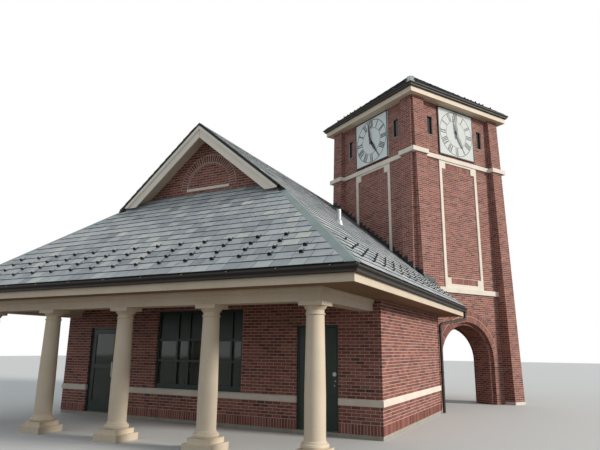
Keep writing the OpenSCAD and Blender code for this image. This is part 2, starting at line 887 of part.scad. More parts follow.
module gutters() {
    color(bronze) {
        translate([0, fascia_y, gutter_z])
            intersection() {
                translate([-fascia_x - gutter_w, 0, 0])
                    gutter_run(2 * (fascia_x + gutter_w));
                linear_extrude(gutter_h)
                    mitred(fascia_x, true, true);
            }
        for (s = [[0, verge_y], [1, rear_verge_y]])
            mirror([s[0], 0, 0])
                translate([fascia_x, fascia_y + fit, gutter_z])
                    rotate([0, 0, 90]) {
                        intersection() {
                            translate([-gutter_w, 0, 0])
                                gutter_run(s[1] - fascia_y - fit + gutter_w);
                            linear_extrude(gutter_h)
                                mitred(0, true, false);
                        }
                        translate([s[1] - fascia_y - fit - gutter_t, 0, 0])
                            gutter_end();
                    }
        tower_gutter();
    }
}

spout_w = 64;
spout_gap = 12;
elbow_out_z = fascia_z - 60;
elbow_in_z = elbow_out_z - 200;
spout_foot_z = 15;
strap_zs = [1100, 2250];
strap_h = 30;

// Pipe leg between two points in a plane x-z or y-z, square in section
module leg(a, b) {
    d = b - a;
    l = norm(d);
    translate(a)
        rotate([0, acos(d[2] / l), atan2(d[1], d[0])])
            translate([-spout_w / 2, -spout_w / 2, -spout_w * 0.2])
                cube([spout_w, spout_w, l + spout_w * 0.4]);
}

module downspout(y_wall, y_gut) {
    x_wall = half_w + spout_gap + spout_w / 2 + band_out;
    x_gut = fascia_x + gutter_w * 0.36;
    intersection() {
        leg([x_gut, y_gut, elbow_out_z], [x_gut, y_gut, gutter_z]);
        block([0, 0, 0], [far, far, gutter_z]);
    }
    leg([x_wall, y_wall, elbow_in_z], [x_gut, y_gut, elbow_out_z]);
    leg([x_wall, y_wall, spout_foot_z + spout_w * 0.2], [x_wall, y_wall, elbow_in_z]);
    for (z = strap_zs)
        block([half_w + fit, y_wall - spout_w, z], [x_wall + spout_w / 2 + 4, y_wall + spout_w, z + strap_h]);
}

module downspouts() {
    color(bronze) {
        downspout(right_end_y - 90, verge_y - 90);
        mirror([1, 0, 0])
            downspout(rear_y - 90, rear_verge_y - 90);
    }
}

module front_roof_slope() {
    hip = edge_x + edge_y;
    color(slate)
    difference() {
        roof_piece([[-edge_x, edge_y], [edge_x, edge_y], [hip - front_y + fit, front_y - fit],
            [-hip + front_y - fit, front_y - fit]], -90, -lip_y, lip_z, roof_pitch, slab_t);
        translate([0, gable_y + far / 2, fit])
            for (m = [0, 1])
                mirror([m, 0, 0])
                    intersection() {
                        sloped_slab(lip_x, lip_z + 200, roof_pitch, slab_t + 200 + 2 * fit);
                        block([0, -far / 2, 0], [far, far / 2, far]);
                    }
    }
}

hip_top_x = edge_x + edge_y - gable_y;

verge_end_x = half_w - 526;

module right_roof_slope() {
    color(slate)
    difference() {
        roof_piece([[edge_x, edge_y], [edge_x, verge_y], [verge_end_x, verge_y],
            [tower_x, tower_y], [0, rear_verge_y], [0, gable_y], [hip_top_x, gable_y]],
            0, lip_x, lip_z, roof_pitch, slab_t);
        tower_mass(fit);
    }
}

module left_roof_slope() {
    color(slate)
    mirror([1, 0, 0])
        roof_piece([[edge_x, edge_y], [edge_x, rear_verge_y], [0, rear_verge_y], [0, gable_y],
            [hip_top_x, gable_y]], 0, lip_x, lip_z, roof_pitch, slab_t);
}

cap_over = 90;
cap_drip = 12;

// Bent metal cap along a hip, from the eave corner up to the gable
module hip_cap() {
    run = norm([edge_x - hip_top_x, gable_y - edge_y]);
    rise = k * (edge_x - hip_top_x);
    intersection() {
        translate([edge_x, edge_y, side_top(edge_x) + fit])
            rotate([0, 0, 135])
                hip_length(run, rise);
        block([0, edge_y - cap_drip, 0], [edge_x + cap_drip, far, far]);
    }
}

// Hip cap that rises along +X over a run, started outside the eaves
module hip_length(run, rise) {
    rotate([0, -atan(rise / run), 0])
        translate([-cap_over, 0, 0])
            bent_cap(norm([run, rise]) + cap_over, atan(k / sqrt(2 + k * k)));
}

// Metal cap along +X, bent down by an angle on both sides
module bent_cap(length, bend) {
    w = cap_w / 2 * cos(bend);
    h = cap_w / 2 * sin(bend);
    t = cap_t / cos(bend);
    rotate([90, 0, 90])
        linear_extrude(length)
            polygon([[-w, -h], [0, 0], [w, -h], [w, t - h], [0, t], [-w, t - h]]);
}

// Bent metal caps on the four hips of the tower roof
module tower_caps() {
    run = norm([t_edge, t_edge]);
    e = t_edge + cap_drip;
    on_tower()
    intersection() {
        for (a = [45:90:315])
            rotate([0, 0, a])
                translate([run, 0, t_lip_z + k * edge_in + fit])
                    rotate([0, 0, 180])
                        hip_length(run, k * t_edge);
        block([-e, -e, 0], [e, e, far]);
    }
}

module roof_caps() {
    color([0.42, 0.46, 0.42]) {
        tower_caps();
        for (m = [0, 1])
            mirror([m, 0, 0])
                hip_cap();
        difference() {
            translate([0, gable_y, ridge_z + fit])
                rotate([0, 0, 90])
                    bent_cap(rear_verge_y - gable_y, roof_pitch);
            tower_mass(fit);
        }
    }
}

lunette_in = 120;
lunette_sill_h = 70;
lunette_fill_t = 80;
lunette_proud = 8;
lunette_sill_out = 25;

module gable_wall() {
    z_side = side_top(half_w) - slab_t - fit;
    color(brick)
    translate([0, front_y + wall_t, 0])
        rotate([90, 0, 0])
            difference() {
                linear_extrude(wall_t)
                    polygon([[-half_w, plate_z], [half_w, plate_z], [half_w, z_side],
                        [0, side_top(0) - slab_t - fit], [-half_w, z_side]]);
                translate([0, lunette_z, wall_t - lunette_in])
                    linear_extrude(lunette_in + 1)
                        intersection() {
                            circle(r = lunette_r, $fn = 96);
                            translate([-lunette_r, 0])
                                square([2 * lunette_r, lunette_r]);
                        }
                translate([-lunette_r + lunette_ring, lunette_z - lunette_sill_h, wall_t - lunette_in])
                    cube([2 * (lunette_r - lunette_ring), lunette_sill_h + 1, lunette_in + 1]);
            }
}

module lunette_ring() {
    color(brick)
    translate([0, front_y + lunette_in, lunette_z])
        rotate([90, 0, 0]) {
            linear_extrude(lunette_in + lunette_proud)
                difference() {
                    intersection() {
                        circle(r = lunette_r - fit, $fn = 96);
                        translate([-lunette_r, 0])
                            square([2 * lunette_r, lunette_r]);
                    }
                    circle(r = lunette_r - lunette_ring, $fn = 96);
                }
            linear_extrude(lunette_fill_t)
                intersection() {
                    circle(r = lunette_r - lunette_ring - fit, $fn = 96);
                    translate([-lunette_r, 0])
                        square([2 * lunette_r, lunette_r]);
                }
        }
}

module lunette_sill() {
    r = lunette_r - lunette_ring;
    color(stone)
        block([-r + fit, front_y - lunette_sill_out, lunette_z - lunette_sill_h + fit],
            [r - fit, front_y + lunette_in, lunette_z - fit]);
}

rake_t = 28;
rake_band_t = 60;
rake_drop = 35;
rake_foot_gap = 60;
rake_foot_in = 200;

module rake_boards() {
    z_foot = front_top(gable_y) + rake_foot_gap;
    color(cream)
    for (m = [0, 1])
        mirror([m, 0, 0])
            intersection() {
                translate([0, gable_y - fit, 0])
                    rotate([90, 0, 0]) {
                        linear_extrude(rake_t)
                            polygon([[0, ridge_z - rake_drop], [0, ridge_z - rake_h],
                                [hip_top_x, side_top(hip_top_x) - rake_h],
                                [hip_top_x, side_top(hip_top_x) - rake_drop]]);
                        linear_extrude(rake_band_t)
                            polygon([[0, ridge_z - rake_drop], [0, ridge_z - rake_h * 0.45],
                                [hip_top_x, side_top(hip_top_x) - rake_h * 0.45],
                                [hip_top_x, side_top(hip_top_x) - rake_drop]]);
                    }
                block([0, gable_y - rake_band_t - 1, z_foot], [hip_top_x - rake_foot_in, gable_y, far]);
            }
}

vent_x = 3050;
vent_y = -1320;
vent_d = 100;
vent_bore = 88;
vent_h = 360;
collar_d = 150;
collar_top = 120;

module vent_pipe() {
    z = side_top(vent_x);
    color([0.7, 0.7, 0.7])
    difference() {
        union() {
            translate([vent_x, vent_y, z - collar_d])
                cylinder(h = vent_h + collar_d, d = vent_d, $fn = 48);
            translate([vent_x, vent_y, z - collar_d])
                cylinder(h = collar_top + collar_d, d = collar_d, $fn = 48);
        }
        translate([vent_x, vent_y, z])
            cylinder(h = vent_h + 1, d = vent_bore, $fn = 48);
        sloped_slab(lip_x, lip_z + fit, roof_pitch, slope_run);
    }
}

base_h = 90;
base_out = 14;
base_bed = 60;

// Low stone block under each pilaster
module base_blocks(grow) {
    g = base_out + grow;
    on_tower()
    for (a = [0:90:270])
        on_face(a)
            for (s = [0, 1])
                mirror([s, 0, 0])
                    block([bay_half - g, core - base_bed - grow, -grow],
                        [half_t - corner_in + g, half_t + batter_foot + g, base_h + grow]);
}

module pilaster_bases() {
    color(stone)
        base_blocks(0);
}

module tower_base() {
    color(brick)
    difference() {
        tower_masonry();
        base_blocks(fit);
    }
}

// Piers and arch of the tower up to the stone sill, before the bases are cut in
module tower_masonry() {
    on_tower()
    difference() {
        union() {
            translate([-core, -core, 0])
                cube([2 * core, 2 * core, sill_z]);
            intersection() {
                pilasters(0);
                translate([-far / 2, -far / 2, 0])
                    cube([far, far, sill_z]);
            }
        }
        rotate([90, 0, 90])
            translate([0, 0, -far / 2])
                linear_extrude(far)
                    arch_2d(passage_r);
        for (a = [90, 270])
            on_face(a)
                translate([0, core + 1, 0])
                    rotate([90, 0, 0])
                        linear_extrude(order_d + 1)
                            arch_2d(ring_out + fit);
    }
}

module arch_rings() {
    color([0.5, 0.24, 0.2])
    on_tower()
    for (a = [90, 270])
        on_face(a)
            translate([0, core, 0])
                rotate([90, 0, 0])
                    linear_extrude(order_d - fit)
                        difference() {
                            arch_2d(ring_out);
                            translate([0, -1])
                                arch_2d(ring_in);
                            translate([-ring_out - 1, -1])
                                square([2 * ring_out + 2, 1]);
                        }
}

module tower_shaft() {
    color(brick)
    on_tower()
    difference() {
        union() {
            translate([-core, -core, sill_z])
                cube([2 * core, 2 * core, tower_top - sill_z]);
            intersection() {
                pilasters(0);
                translate([-far / 2, -far / 2, sill_z])
                    cube([far, far, tower_top - sill_z]);
            }
        }
        translate([-core + shaft_t, -core + shaft_t, sill_z - 1])
            cube([2 * (core - shaft_t), 2 * (core - shaft_t), tower_top]);
        for (a = [0:90:270])
            on_face(a) {
                block([-bay_half, core - sill_bed, sill_z - 1], [bay_half, half_t * 1.5, sill_z + sill_h]);
                for (s = [-1, 1])
                    block([s * slit_x - slit_w / 2, core - shaft_t - 10, slit_z],
                        [s * slit_x + slit_w / 2, half_t, slit_z + slit_h]);
            }
        for (a = [0:90:270])
            on_face(a)
                block([-half_t * 1.5, core - belt_bed, belt_z], [half_t * 1.5, half_t * 1.5, belt_z + belt_h]);
    }
}

slit_sill_h = 28;
slit_sill_over = 6;
slit_sill_out = 16;
slit_pane_in = 60;
slit_pane_t = 30;

module tower_sills() {
    color(stone)
    on_tower()
    for (a = [0:90:270])
        on_face(a)
            block([-bay_half + fit, core - sill_bed + fit, sill_z + fit],
                [bay_half - fit, core + sill_out, sill_z + sill_h - fit]);
    color(stone)
    on_tower()
    for (a = [0:90:270])
        on_face(a)
            for (s = [-1, 1])
                block([s * slit_x - slit_w / 2 - slit_sill_over, core + fit, slit_z - slit_sill_h],
                    [s * slit_x + slit_w / 2 + slit_sill_over, core + slit_sill_out, slit_z]);
}

module slit_panes() {
    color([0.1, 0.12, 0.12])
    on_tower()
    for (a = [0:90:270])
        on_face(a)
            for (s = [-1, 1])
                block([s * slit_x - slit_w / 2 + fit, core - slit_pane_in - slit_pane_t, slit_z + fit],
                    [s * slit_x + slit_w / 2 - fit, core - slit_pane_in, slit_z + slit_h - fit]);
}

belt_return = 46;

module tower_belt() {
    color(stone)
    on_tower()
    difference() {
        union() {
            translate([-core - belt_out, -core - belt_out, belt_z + fit])
                cube([2 * (core + belt_out), 2 * (core + belt_out), belt_h - 2 * fit]);
            for (a = [0:90:270])
                on_face(a)
                    block([bay_half - belt_return, bay_half - belt_return, belt_z + fit],
                        [half_t + belt_out, half_t + belt_out, belt_z + belt_h - fit]);
        }
        translate([-core + belt_bed - fit, -core + belt_bed - fit, belt_z - 1])
            cube([2 * (core - belt_bed + fit), 2 * (core - belt_bed + fit), belt_h + 2]);
    }
}

module panel_frames() {
    color(stone)
    on_tower()
    for (a = [0:90:270])
        on_face(a)
            translate([0, core + frame_out, 0])
                rotate([90, 0, 0])
                    linear_extrude(frame_out - fit)
                        panel_frame_2d(0);
}

clock_z = belt_z + belt_h + clock_lift + clock_w / 2;
hood_out = 110;
hood_gap = 6;

module clock_panels() {
    color([0.9, 0.92, 0.93])
    on_tower()
    for (a = [0:90:270])
        on_face(a)
            difference() {
                block([-clock_w / 2, core + fit, clock_z - clock_w / 2 + fit],
                    [clock_w / 2, core + clock_t, clock_z + clock_w / 2 - fit]);
                translate([0, core - 1, clock_z])
                    rotate([-90, 0, 0])
                        cylinder(h = clock_t + 2, r = sleeve_r + fit, $fn = 48);
            }
}

// Flat outline of a hand that points up, with a tail past its hub and its belly at a share of its reach
module hand_2d(reach, w, tail, belly) {
    side = [[w * 0.35, -tail], [w * 0.5, -tail * 0.5], [w * 0.26, 0], [w * 0.5, reach * belly],
        [w * 0.2, reach * (belly + 0.2)], [w * 0.08, reach]];
    polygon(concat(side, [for (i = [5:-1:0]) [-side[i][0], side[i][1]]]));
    circle(r = hub_r, $fn = 48);
}

hub_r = 42;
arbor_r = 12;
sleeve_r = 22;
arbor_in = 4;
minute_w = 76;
minute_tail = 150;
minute_belly = 0.3;
hour_w = 98;
hour_tail = 130;
hour_belly = 0.5;
hour_y = core + clock_t + hand_gap;
minute_y = hour_y + hand_t + hand_gap;

// Minute hand with its arbor, on the face turned by a
module minute_hand(a) {
    on_tower()
        on_face(a)
            translate([0, 0, clock_z])
                rotate([0, -minute_turn, 0])
                    rotate([90, 0, 0]) {
                        translate([0, 0, -minute_y - hand_t])
                            linear_extrude(hand_t)
                                hand_2d(minute_r, minute_w, minute_tail, minute_belly);
                        translate([0, 0, -minute_y])
                            cylinder(h = minute_y - core - arbor_in, r = arbor_r, $fn = 48);
                    }
}

// Hour hand with its sleeve, on the face turned by a
module hour_hand(a) {
    on_tower()
        on_face(a)
            translate([0, 0, clock_z])
                rotate([0, -hour_turn, 0])
                    rotate([90, 0, 0])
                        difference() {
                            union() {
                                translate([0, 0, -hour_y - hand_t])
                                    linear_extrude(hand_t)
                                        hand_2d(hour_r, hour_w, hour_tail, hour_belly);
                                translate([0, 0, -hour_y])
                                    cylinder(h = hour_y - core - arbor_in, r = sleeve_r, $fn = 48);
                            }
                            translate([0, 0, -far / 2])
                                cylinder(h = far, r = arbor_r + fit, $fn = 48);
                        }
}

module front_minute_hand() {
    color([0.1, 0.1, 0.1])
        minute_hand(180);
}

module front_hour_hand() {
    color([0.1, 0.1, 0.1])
        hour_hand(180);
}

module side_minute_hand() {
    color([0.1, 0.1, 0.1])
        minute_hand(270);
}

module side_hour_hand() {
    color([0.1, 0.1, 0.1])
        hour_hand(270);
}

module rear_clock_hands() {
    color([0.1, 0.1, 0.1])
    on_tower()
    for (a = [0, 90])
        on_face(a)
            translate([0, 0, clock_z])
                rotate([90, 0, 0]) {
                    translate([0, 0, -hour_y - hand_t])
                        linear_extrude(hand_t)
                            rotate([0, 0, hour_turn])
                                hand_2d(hour_r, hour_w, hour_tail, hour_belly);
                    translate([0, 0, -minute_y - hand_t])
                        linear_extrude(hand_t)
                            rotate([0, 0, minute_turn])
                                hand_2d(minute_r, minute_w, minute_tail, minute_belly);
                    translate([0, 0, -minute_y - hand_t / 2])
                        cylinder(h = minute_y + hand_t / 2 - core - arbor_in, r = sleeve_r, $fn = 48);
                }
}

t_over = 150;
t_rise = 285;
t_fascia = half_t + t_over;
t_lip = t_fascia + gutter_w;
t_lip_z = tower_top + t_rise;
t_fascia_z = tower_top - 5;
t_gutter_z = t_lip_z - gutter_h;
t_edge = t_lip - edge_in;
t_fascia_top = t_lip_z + tan(roof_pitch) * (t_lip - t_fascia) - slab_t - fit;

module square_ring(a, b) {
    difference() {
        square([2 * a, 2 * a], center = true);
        square([2 * b, 2 * b], center = true);
    }
}

module tower_eaves() {
    color(cream)
    on_tower() {
        translate([0, 0, tower_top + fit])
            linear_extrude(soffit_t)
                square_ring(t_fascia - fascia_t + 1, core - shaft_t + 40);
        translate([0, 0, t_fascia_z])
            linear_extrude(t_fascia_top - t_fascia_z)
                square_ring(t_fascia, t_fascia - fascia_t);
        for (a = [0:90:270])
            on_face(a)
                block([-clock_w / 2, core + fit, clock_z + clock_w / 2 + hood_gap],
                    [clock_w / 2, core + hood_out, tower_top]);
    }
}

// Four mitred gutters round the tower eaves
module tower_gutter() {
    on_tower()
    for (a = [0:90:270])
        rotate([0, 0, a])
            translate([0, -t_fascia - fit, t_gutter_z])
                intersection() {
                    translate([-t_lip, 0, 0])
                        gutter_run(2 * t_lip);
                    linear_extrude(gutter_h)
                        mitred(t_fascia - fit / 2, true, true);
                }
}

module tower_roof() {
    color(slate)
    on_tower()
    for (a = [0:90:270])
        rotate([0, 0, a])
            roof_piece([[0, 0], [t_edge, -t_edge], [t_edge, t_edge]], 0, t_lip, t_lip_z, roof_pitch, slab_t);
}

floor_slab();
foundation_strip();
front_wall_left();
front_wall_middle();
front_wall_right();
door_head_walls();
left_wall();
right_wall();
rear_walls();
stone_band();
door_frames();
entrance_door();
entrance_glass();
steel_door();
window_frame();
window_glass();
window_panels();
porch_columns();
porch_beams();
soffit();
fascia();
gutters();
downspouts();
front_roof_slope();
left_roof_slope();
right_roof_slope();
roof_caps();
gable_wall();
lunette_ring();
lunette_sill();
rake_boards();
vent_pipe();
pilaster_bases();
tower_base();
tower_shaft();
arch_rings();
tower_sills();
tower_belt();
panel_frames();
clock_panels();
front_minute_hand();
front_hour_hand();
side_minute_hand();
side_hour_hand();
rear_clock_hands();
slit_panes();
tower_eaves();
tower_roof();
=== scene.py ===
import math
import random

import bmesh
import bpy
from mathutils import Matrix, Vector


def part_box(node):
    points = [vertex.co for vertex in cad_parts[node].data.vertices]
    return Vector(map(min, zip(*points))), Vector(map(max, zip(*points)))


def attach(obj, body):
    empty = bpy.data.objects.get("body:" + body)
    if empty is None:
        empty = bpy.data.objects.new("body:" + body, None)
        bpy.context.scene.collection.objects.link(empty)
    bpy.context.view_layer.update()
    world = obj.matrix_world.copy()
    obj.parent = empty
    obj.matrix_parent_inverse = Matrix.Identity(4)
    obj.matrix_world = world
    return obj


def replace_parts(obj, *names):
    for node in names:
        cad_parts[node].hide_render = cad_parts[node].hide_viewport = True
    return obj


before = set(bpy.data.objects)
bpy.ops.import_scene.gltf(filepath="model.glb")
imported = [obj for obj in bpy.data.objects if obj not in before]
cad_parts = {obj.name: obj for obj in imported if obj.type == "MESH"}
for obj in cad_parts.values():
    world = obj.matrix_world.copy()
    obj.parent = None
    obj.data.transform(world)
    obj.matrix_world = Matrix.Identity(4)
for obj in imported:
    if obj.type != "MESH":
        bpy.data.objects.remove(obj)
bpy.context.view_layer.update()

rng = random.Random(7)
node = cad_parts
ROOT = "building"

# Sizes in metres. Waiting room: walls, foot strip, wall plate, stone band, doors (left and right edge), window
HALF, FRONT, END_Y, REAR = 4.526, -2.700, 2.700, 5.199973
STRIP, PLATE, DOOR_HEAD, JAMB = 0.080, 2.738, 2.240, 0.044
BAND = (0.622, 0.757)
DOORS = ((-3.656, -2.676), (2.600, 3.580))
WINDOW = (-1.335, 1.195, 0.757, 2.618)
# Brickwork: course, length with a joint, joint, how far bricks stand out and reach in, gap to other pieces
COURSE, MODULE, JOINT, PROUD, SUNK, GAP = 0.0677, 0.2032, 0.010, 0.003, 0.002, 0.004
# Main roof: pitch, eave lips, slate edge behind the lip, slab, gable, verges, rake boards
PITCH = math.radians(39.7)
K, CS, SN = math.tan(PITCH), math.cos(PITCH), math.sin(PITCH)
LIP_X, LIP_Y, LIP_Z = 5.241, -5.887, 2.980
EDGE, SLAB = 0.066, 0.130
GABLE_Y, VERGE, REAR_VERGE = -3.150, 3.600, 5.450
GABLE_FOOT, GABLE_TOP = 5.560, 7.15
RAKE_DROP, RAKE_H = 0.076, 0.385
# Tower: turn and centre in plan, outer and inner faces, height, bays, pilasters, batter, eave lip, foot stones
TURN = math.radians(-31)
TX, TY = 3.189967, 5.999006
HALF_T, CORE, TOP, BAY = 2.270, 2.088, 10.125, 1.671
PIL = (BAY, 2.162)
BATTER = (0.200, -0.048)
T_LIP, T_LIP_Z, BASE_H = 2.530, 10.410, 0.092


def side_top(x):
    """Height of the side slopes over x."""
    return LIP_Z + K * (LIP_X - abs(x))


# Materials
def shader(name, rough=0.7, metal=0.0, spec=0.5):
    mat = bpy.data.materials.new(name)
    mat.use_nodes = True
    nt = mat.node_tree
    bsdf = nt.nodes["Principled BSDF"]
    bsdf.inputs["Roughness"].default_value = rough
    bsdf.inputs["Metallic"].default_value = metal
    bsdf.inputs["Specular IOR Level"].default_value = spec
    return mat, nt, bsdf


def srgb(r, g, b):
    def lin(c):
        c /= 255.0
        return c / 12.92 if c <= 0.04045 else ((c + 0.055) / 1.055) ** 2.4
    return (lin(r), lin(g), lin(b), 1.0)


def coords(nt):
    return nt.nodes.new("ShaderNodeTexCoord").outputs["Object"]


def noise(nt, vec, scale, detail, rough):
    n = nt.nodes.new("ShaderNodeTexNoise")
    n.inputs["Scale"].default_value = scale
    n.inputs["Detail"].default_value = detail
    n.inputs["Roughness"].default_value = rough
    nt.links.new(vec, n.inputs["Vector"])
    return n.outputs["Fac"]


def ramp(nt, fac, stops):
    r = nt.nodes.new("ShaderNodeValToRGB")
    el = r.color_ramp.elements
    while len(el) < len(stops):
        el.new(0.5)
    for e, (p, c) in zip(el, stops):
        e.position = p
        e.color = c if isinstance(c, tuple) else (c, c, c, 1)
    nt.links.new(fac, r.inputs["Fac"])
    return r.outputs["Color"]


def mix(nt, kind, fac, a, b):
    m = nt.nodes.new("ShaderNodeMix")
    m.data_type = "RGBA"
    m.blend_type = kind
    for sock, val in ((m.inputs[0], fac), (m.inputs[6], a), (m.inputs[7], b)):
        if isinstance(val, (float, tuple)):
            sock.default_value = val
        else:
            nt.links.new(val, sock)
    return m.outputs[2]


def bump(nt, bsdf, height, strength, dist):
    b = nt.nodes.new("ShaderNodeBump")
    b.inputs["Strength"].default_value = strength
    b.inputs["Distance"].default_value = dist
    nt.links.new(height, b.inputs["Height"])
    nt.links.new(b.outputs["Normal"], bsdf.inputs["Normal"])


def rough_by(nt, bsdf, value, low, high):
    """Roughness that follows a texture from low to high."""
    r = nt.nodes.new("ShaderNodeMapRange")
    r.inputs["To Min"].default_value = max(0.0, low)
    r.inputs["To Max"].default_value = min(1.0, high)
    nt.links.new(value, r.inputs["Value"])
    nt.links.new(r.outputs["Result"], bsdf.inputs["Roughness"])


def toned(name, stops, grain_scale, grain_low, rough, depth):
    """Material whose colour runs along stops by the tone of each separate unit, with a fine grain over it."""
    mat, nt, bsdf = shader(name, rough=rough)
    vec = coords(nt)
    unit = nt.nodes.new("ShaderNodeAttribute")
    unit.attribute_name = "tone"
    base = ramp(nt, unit.outputs["Fac"], [(p, srgb(*c)) for p, c in stops])
    grain = noise(nt, vec, grain_scale, 6.0, 0.7)
    blot = noise(nt, vec, grain_scale * 0.12, 3.0, 0.5)
    col = mix(nt, "MULTIPLY", 1.0, base, ramp(nt, grain, [(0.30, grain_low), (0.72, 1.08)]))
    shade = ramp(nt, blot, [(0.30, (0.86, 0.86, 0.87, 1)), (0.70, (1.05, 1.05, 1.04, 1))])
    col = mix(nt, "MULTIPLY", 1.0, col, shade)
    nt.links.new(col, bsdf.inputs["Base Color"])
    rough_by(nt, bsdf, grain, rough - 0.12, rough + 0.12)
    bump(nt, bsdf, grain, 0.6, depth)
    return mat


def painted(name, colour, grime, rough, scale, metal, depth, fine):
    """Painted or coated surface with soft weathering and a fine texture."""
    mat, nt, bsdf = shader(name, rough=rough, metal=metal)
    vec = coords(nt)
    broad = noise(nt, vec, scale, 5.0, 0.6)
    small = noise(nt, vec, fine, 3.0, 0.5)
    col = mix(nt, "MIX", ramp(nt, broad, [(0.38, 0), (0.72, 0.55)]), srgb(*colour), srgb(*grime))
    col = mix(nt, "MULTIPLY", 1.0, col, ramp(nt, small, [(0.3, 0.93), (0.7, 1.03)]))
    nt.links.new(col, bsdf.inputs["Base Color"])
    rough_by(nt, bsdf, broad, rough - 0.08, rough + 0.10)
    bump(nt, bsdf, small, 0.5, depth)
    return mat


def glass_material(name, tint, clear):
    mat, nt, bsdf = shader(name, rough=0.04, spec=0.6)
    tint = srgb(*tint)
    ripple = noise(nt, coords(nt), 1.6, 2.0, 0.4)
    bsdf.inputs["Transmission Weight"].default_value = clear
    bsdf.inputs["IOR"].default_value = 1.46
    deep = (tint[0] * 0.8, tint[1] * 0.85, tint[2] * 0.85, 1)
    col = mix(nt, "MIX", ramp(nt, ripple, [(0.3, 0), (0.8, 0.5)]), tint, deep)
    nt.links.new(col, bsdf.inputs["Base Color"])
    bump(nt, bsdf, ripple, 0.15, 0.002)
    return mat


M = {"brick": toned("brick", [(0.0, (93, 58, 53)), (0.25, (128, 78, 69)), (0.6, (152, 93, 81)),
                              (0.85, (172, 112, 96)), (1.0, (150, 105, 99))],
                    260.0, (0.74, 0.72, 0.72, 1), 0.86, 0.0015),
     # The dark stop at 0 is painted shade, used only on the sides of the slates
     "slate": toned("slate", [(0.0, (40, 43, 46)), (0.08, (140, 146, 151)), (0.4, (169, 174, 178)),
                              (0.8, (192, 195, 195)), (1.0, (208, 207, 197))],
                    55.0, (0.80, 0.81, 0.82, 1), 0.62, 0.002),
     "glass": glass_material("glass", (150, 160, 156), 0.82),
     "dark_glass": glass_material("dark_glass", (30, 34, 36), 0.3)}
# Paint and its weathered tone, roughness, scale of the weathering, metal, depth and scale of the fine texture
for name, *look in (
        ("mortar", (218, 201, 191), (192, 172, 162), 0.95, 2.0, 0.0, 0.001, 300.0),
        ("limestone", (240, 230, 217), (218, 204, 190), 0.85, 2.5, 0.0, 0.0008, 140.0),
        ("concrete", (176, 170, 158), (140, 132, 120), 0.9, 4.0, 0.0, 0.0012, 120.0),
        ("cream_paint", (222, 205, 182), (202, 185, 160), 0.55, 1.4, 0.0, 0.0003, 60.0),
        # Rake paint: the cream paint made lighter, painted light for the rake boards, which stand in shade
        ("rake_paint_painted_light", (246, 237, 223), (233, 222, 206), 0.55, 1.4, 0.0, 0.0003, 60.0),
        # Soffit paint: its own tan colour, made darker as painted shade for the underside of the eaves
        ("soffit_paint", (150, 120, 92), (132, 104, 80), 0.75, 1.2, 0.0, 0.0003, 70.0),
        ("green_paint", (28, 52, 46), (20, 38, 34), 0.35, 3.0, 0.0, 0.0002, 80.0),
        ("bronze_metal", (54, 50, 46), (40, 37, 34), 0.55, 2.5, 0.1, 0.0003, 60.0),
        ("cap_metal", (132, 146, 146), (110, 123, 123), 0.5, 2.0, 0.35, 0.0003, 50.0),
        ("galvanised", (176, 178, 178), (140, 144, 146), 0.42, 12.0, 0.8, 0.0003, 70.0),
        ("flashing", (66, 68, 70), (48, 50, 52), 0.5, 3.0, 0.5, 0.0003, 60.0),
        ("underlay", (52, 55, 57), (40, 42, 44), 0.85, 2.0, 0.0, 0.001, 90.0),
        ("dial", (206, 207, 200), (196, 197, 191), 0.8, 1.1, 0.0, 0.0001, 30.0),
        ("hand_black", (24, 25, 27), (16, 17, 18), 0.4, 5.0, 0.0, 0.0002, 60.0),
        ("dial_ink", (40, 45, 48), (30, 34, 38), 0.5, 5.0, 0.0, 0.0001, 60.0),
        ("guard_black", (30, 31, 33), (22, 22, 24), 0.5, 9.0, 0.4, 0.0003, 80.0),
        # Pale metal for the gutter beads: a painted highlight along the gutter lips
        ("painted_lip_highlight", (150, 150, 144), (120, 120, 114), 0.5, 6.0, 0.4, 0.0002, 80.0),
        ("aluminium", (186, 188, 188), (150, 152, 152), 0.35, 8.0, 0.9, 0.0002, 90.0),
        ("sealant", (150, 128, 116), (128, 106, 96), 0.8, 5.0, 0.0, 0.0004, 80.0)):
    M[name] = painted(name, *look)
# Painted light: a faint bluish glow on every dial, standing in for sky light on the shaded dials
lit = M["dial"].node_tree.nodes["Principled BSDF"]
lit.inputs["Emission Color"].default_value = (0.72, 0.88, 1.0, 1)
lit.inputs["Emission Strength"].default_value = 0.14


# Pieces
def rect(u0, v0, u1, v1):
    return [(u0, v0), (u1, v0), (u1, v1), (u0, v1)]


def polar(r, t, cu=0.0, cv=0.0):
    return (cu + r * math.cos(t), cv + r * math.sin(t))


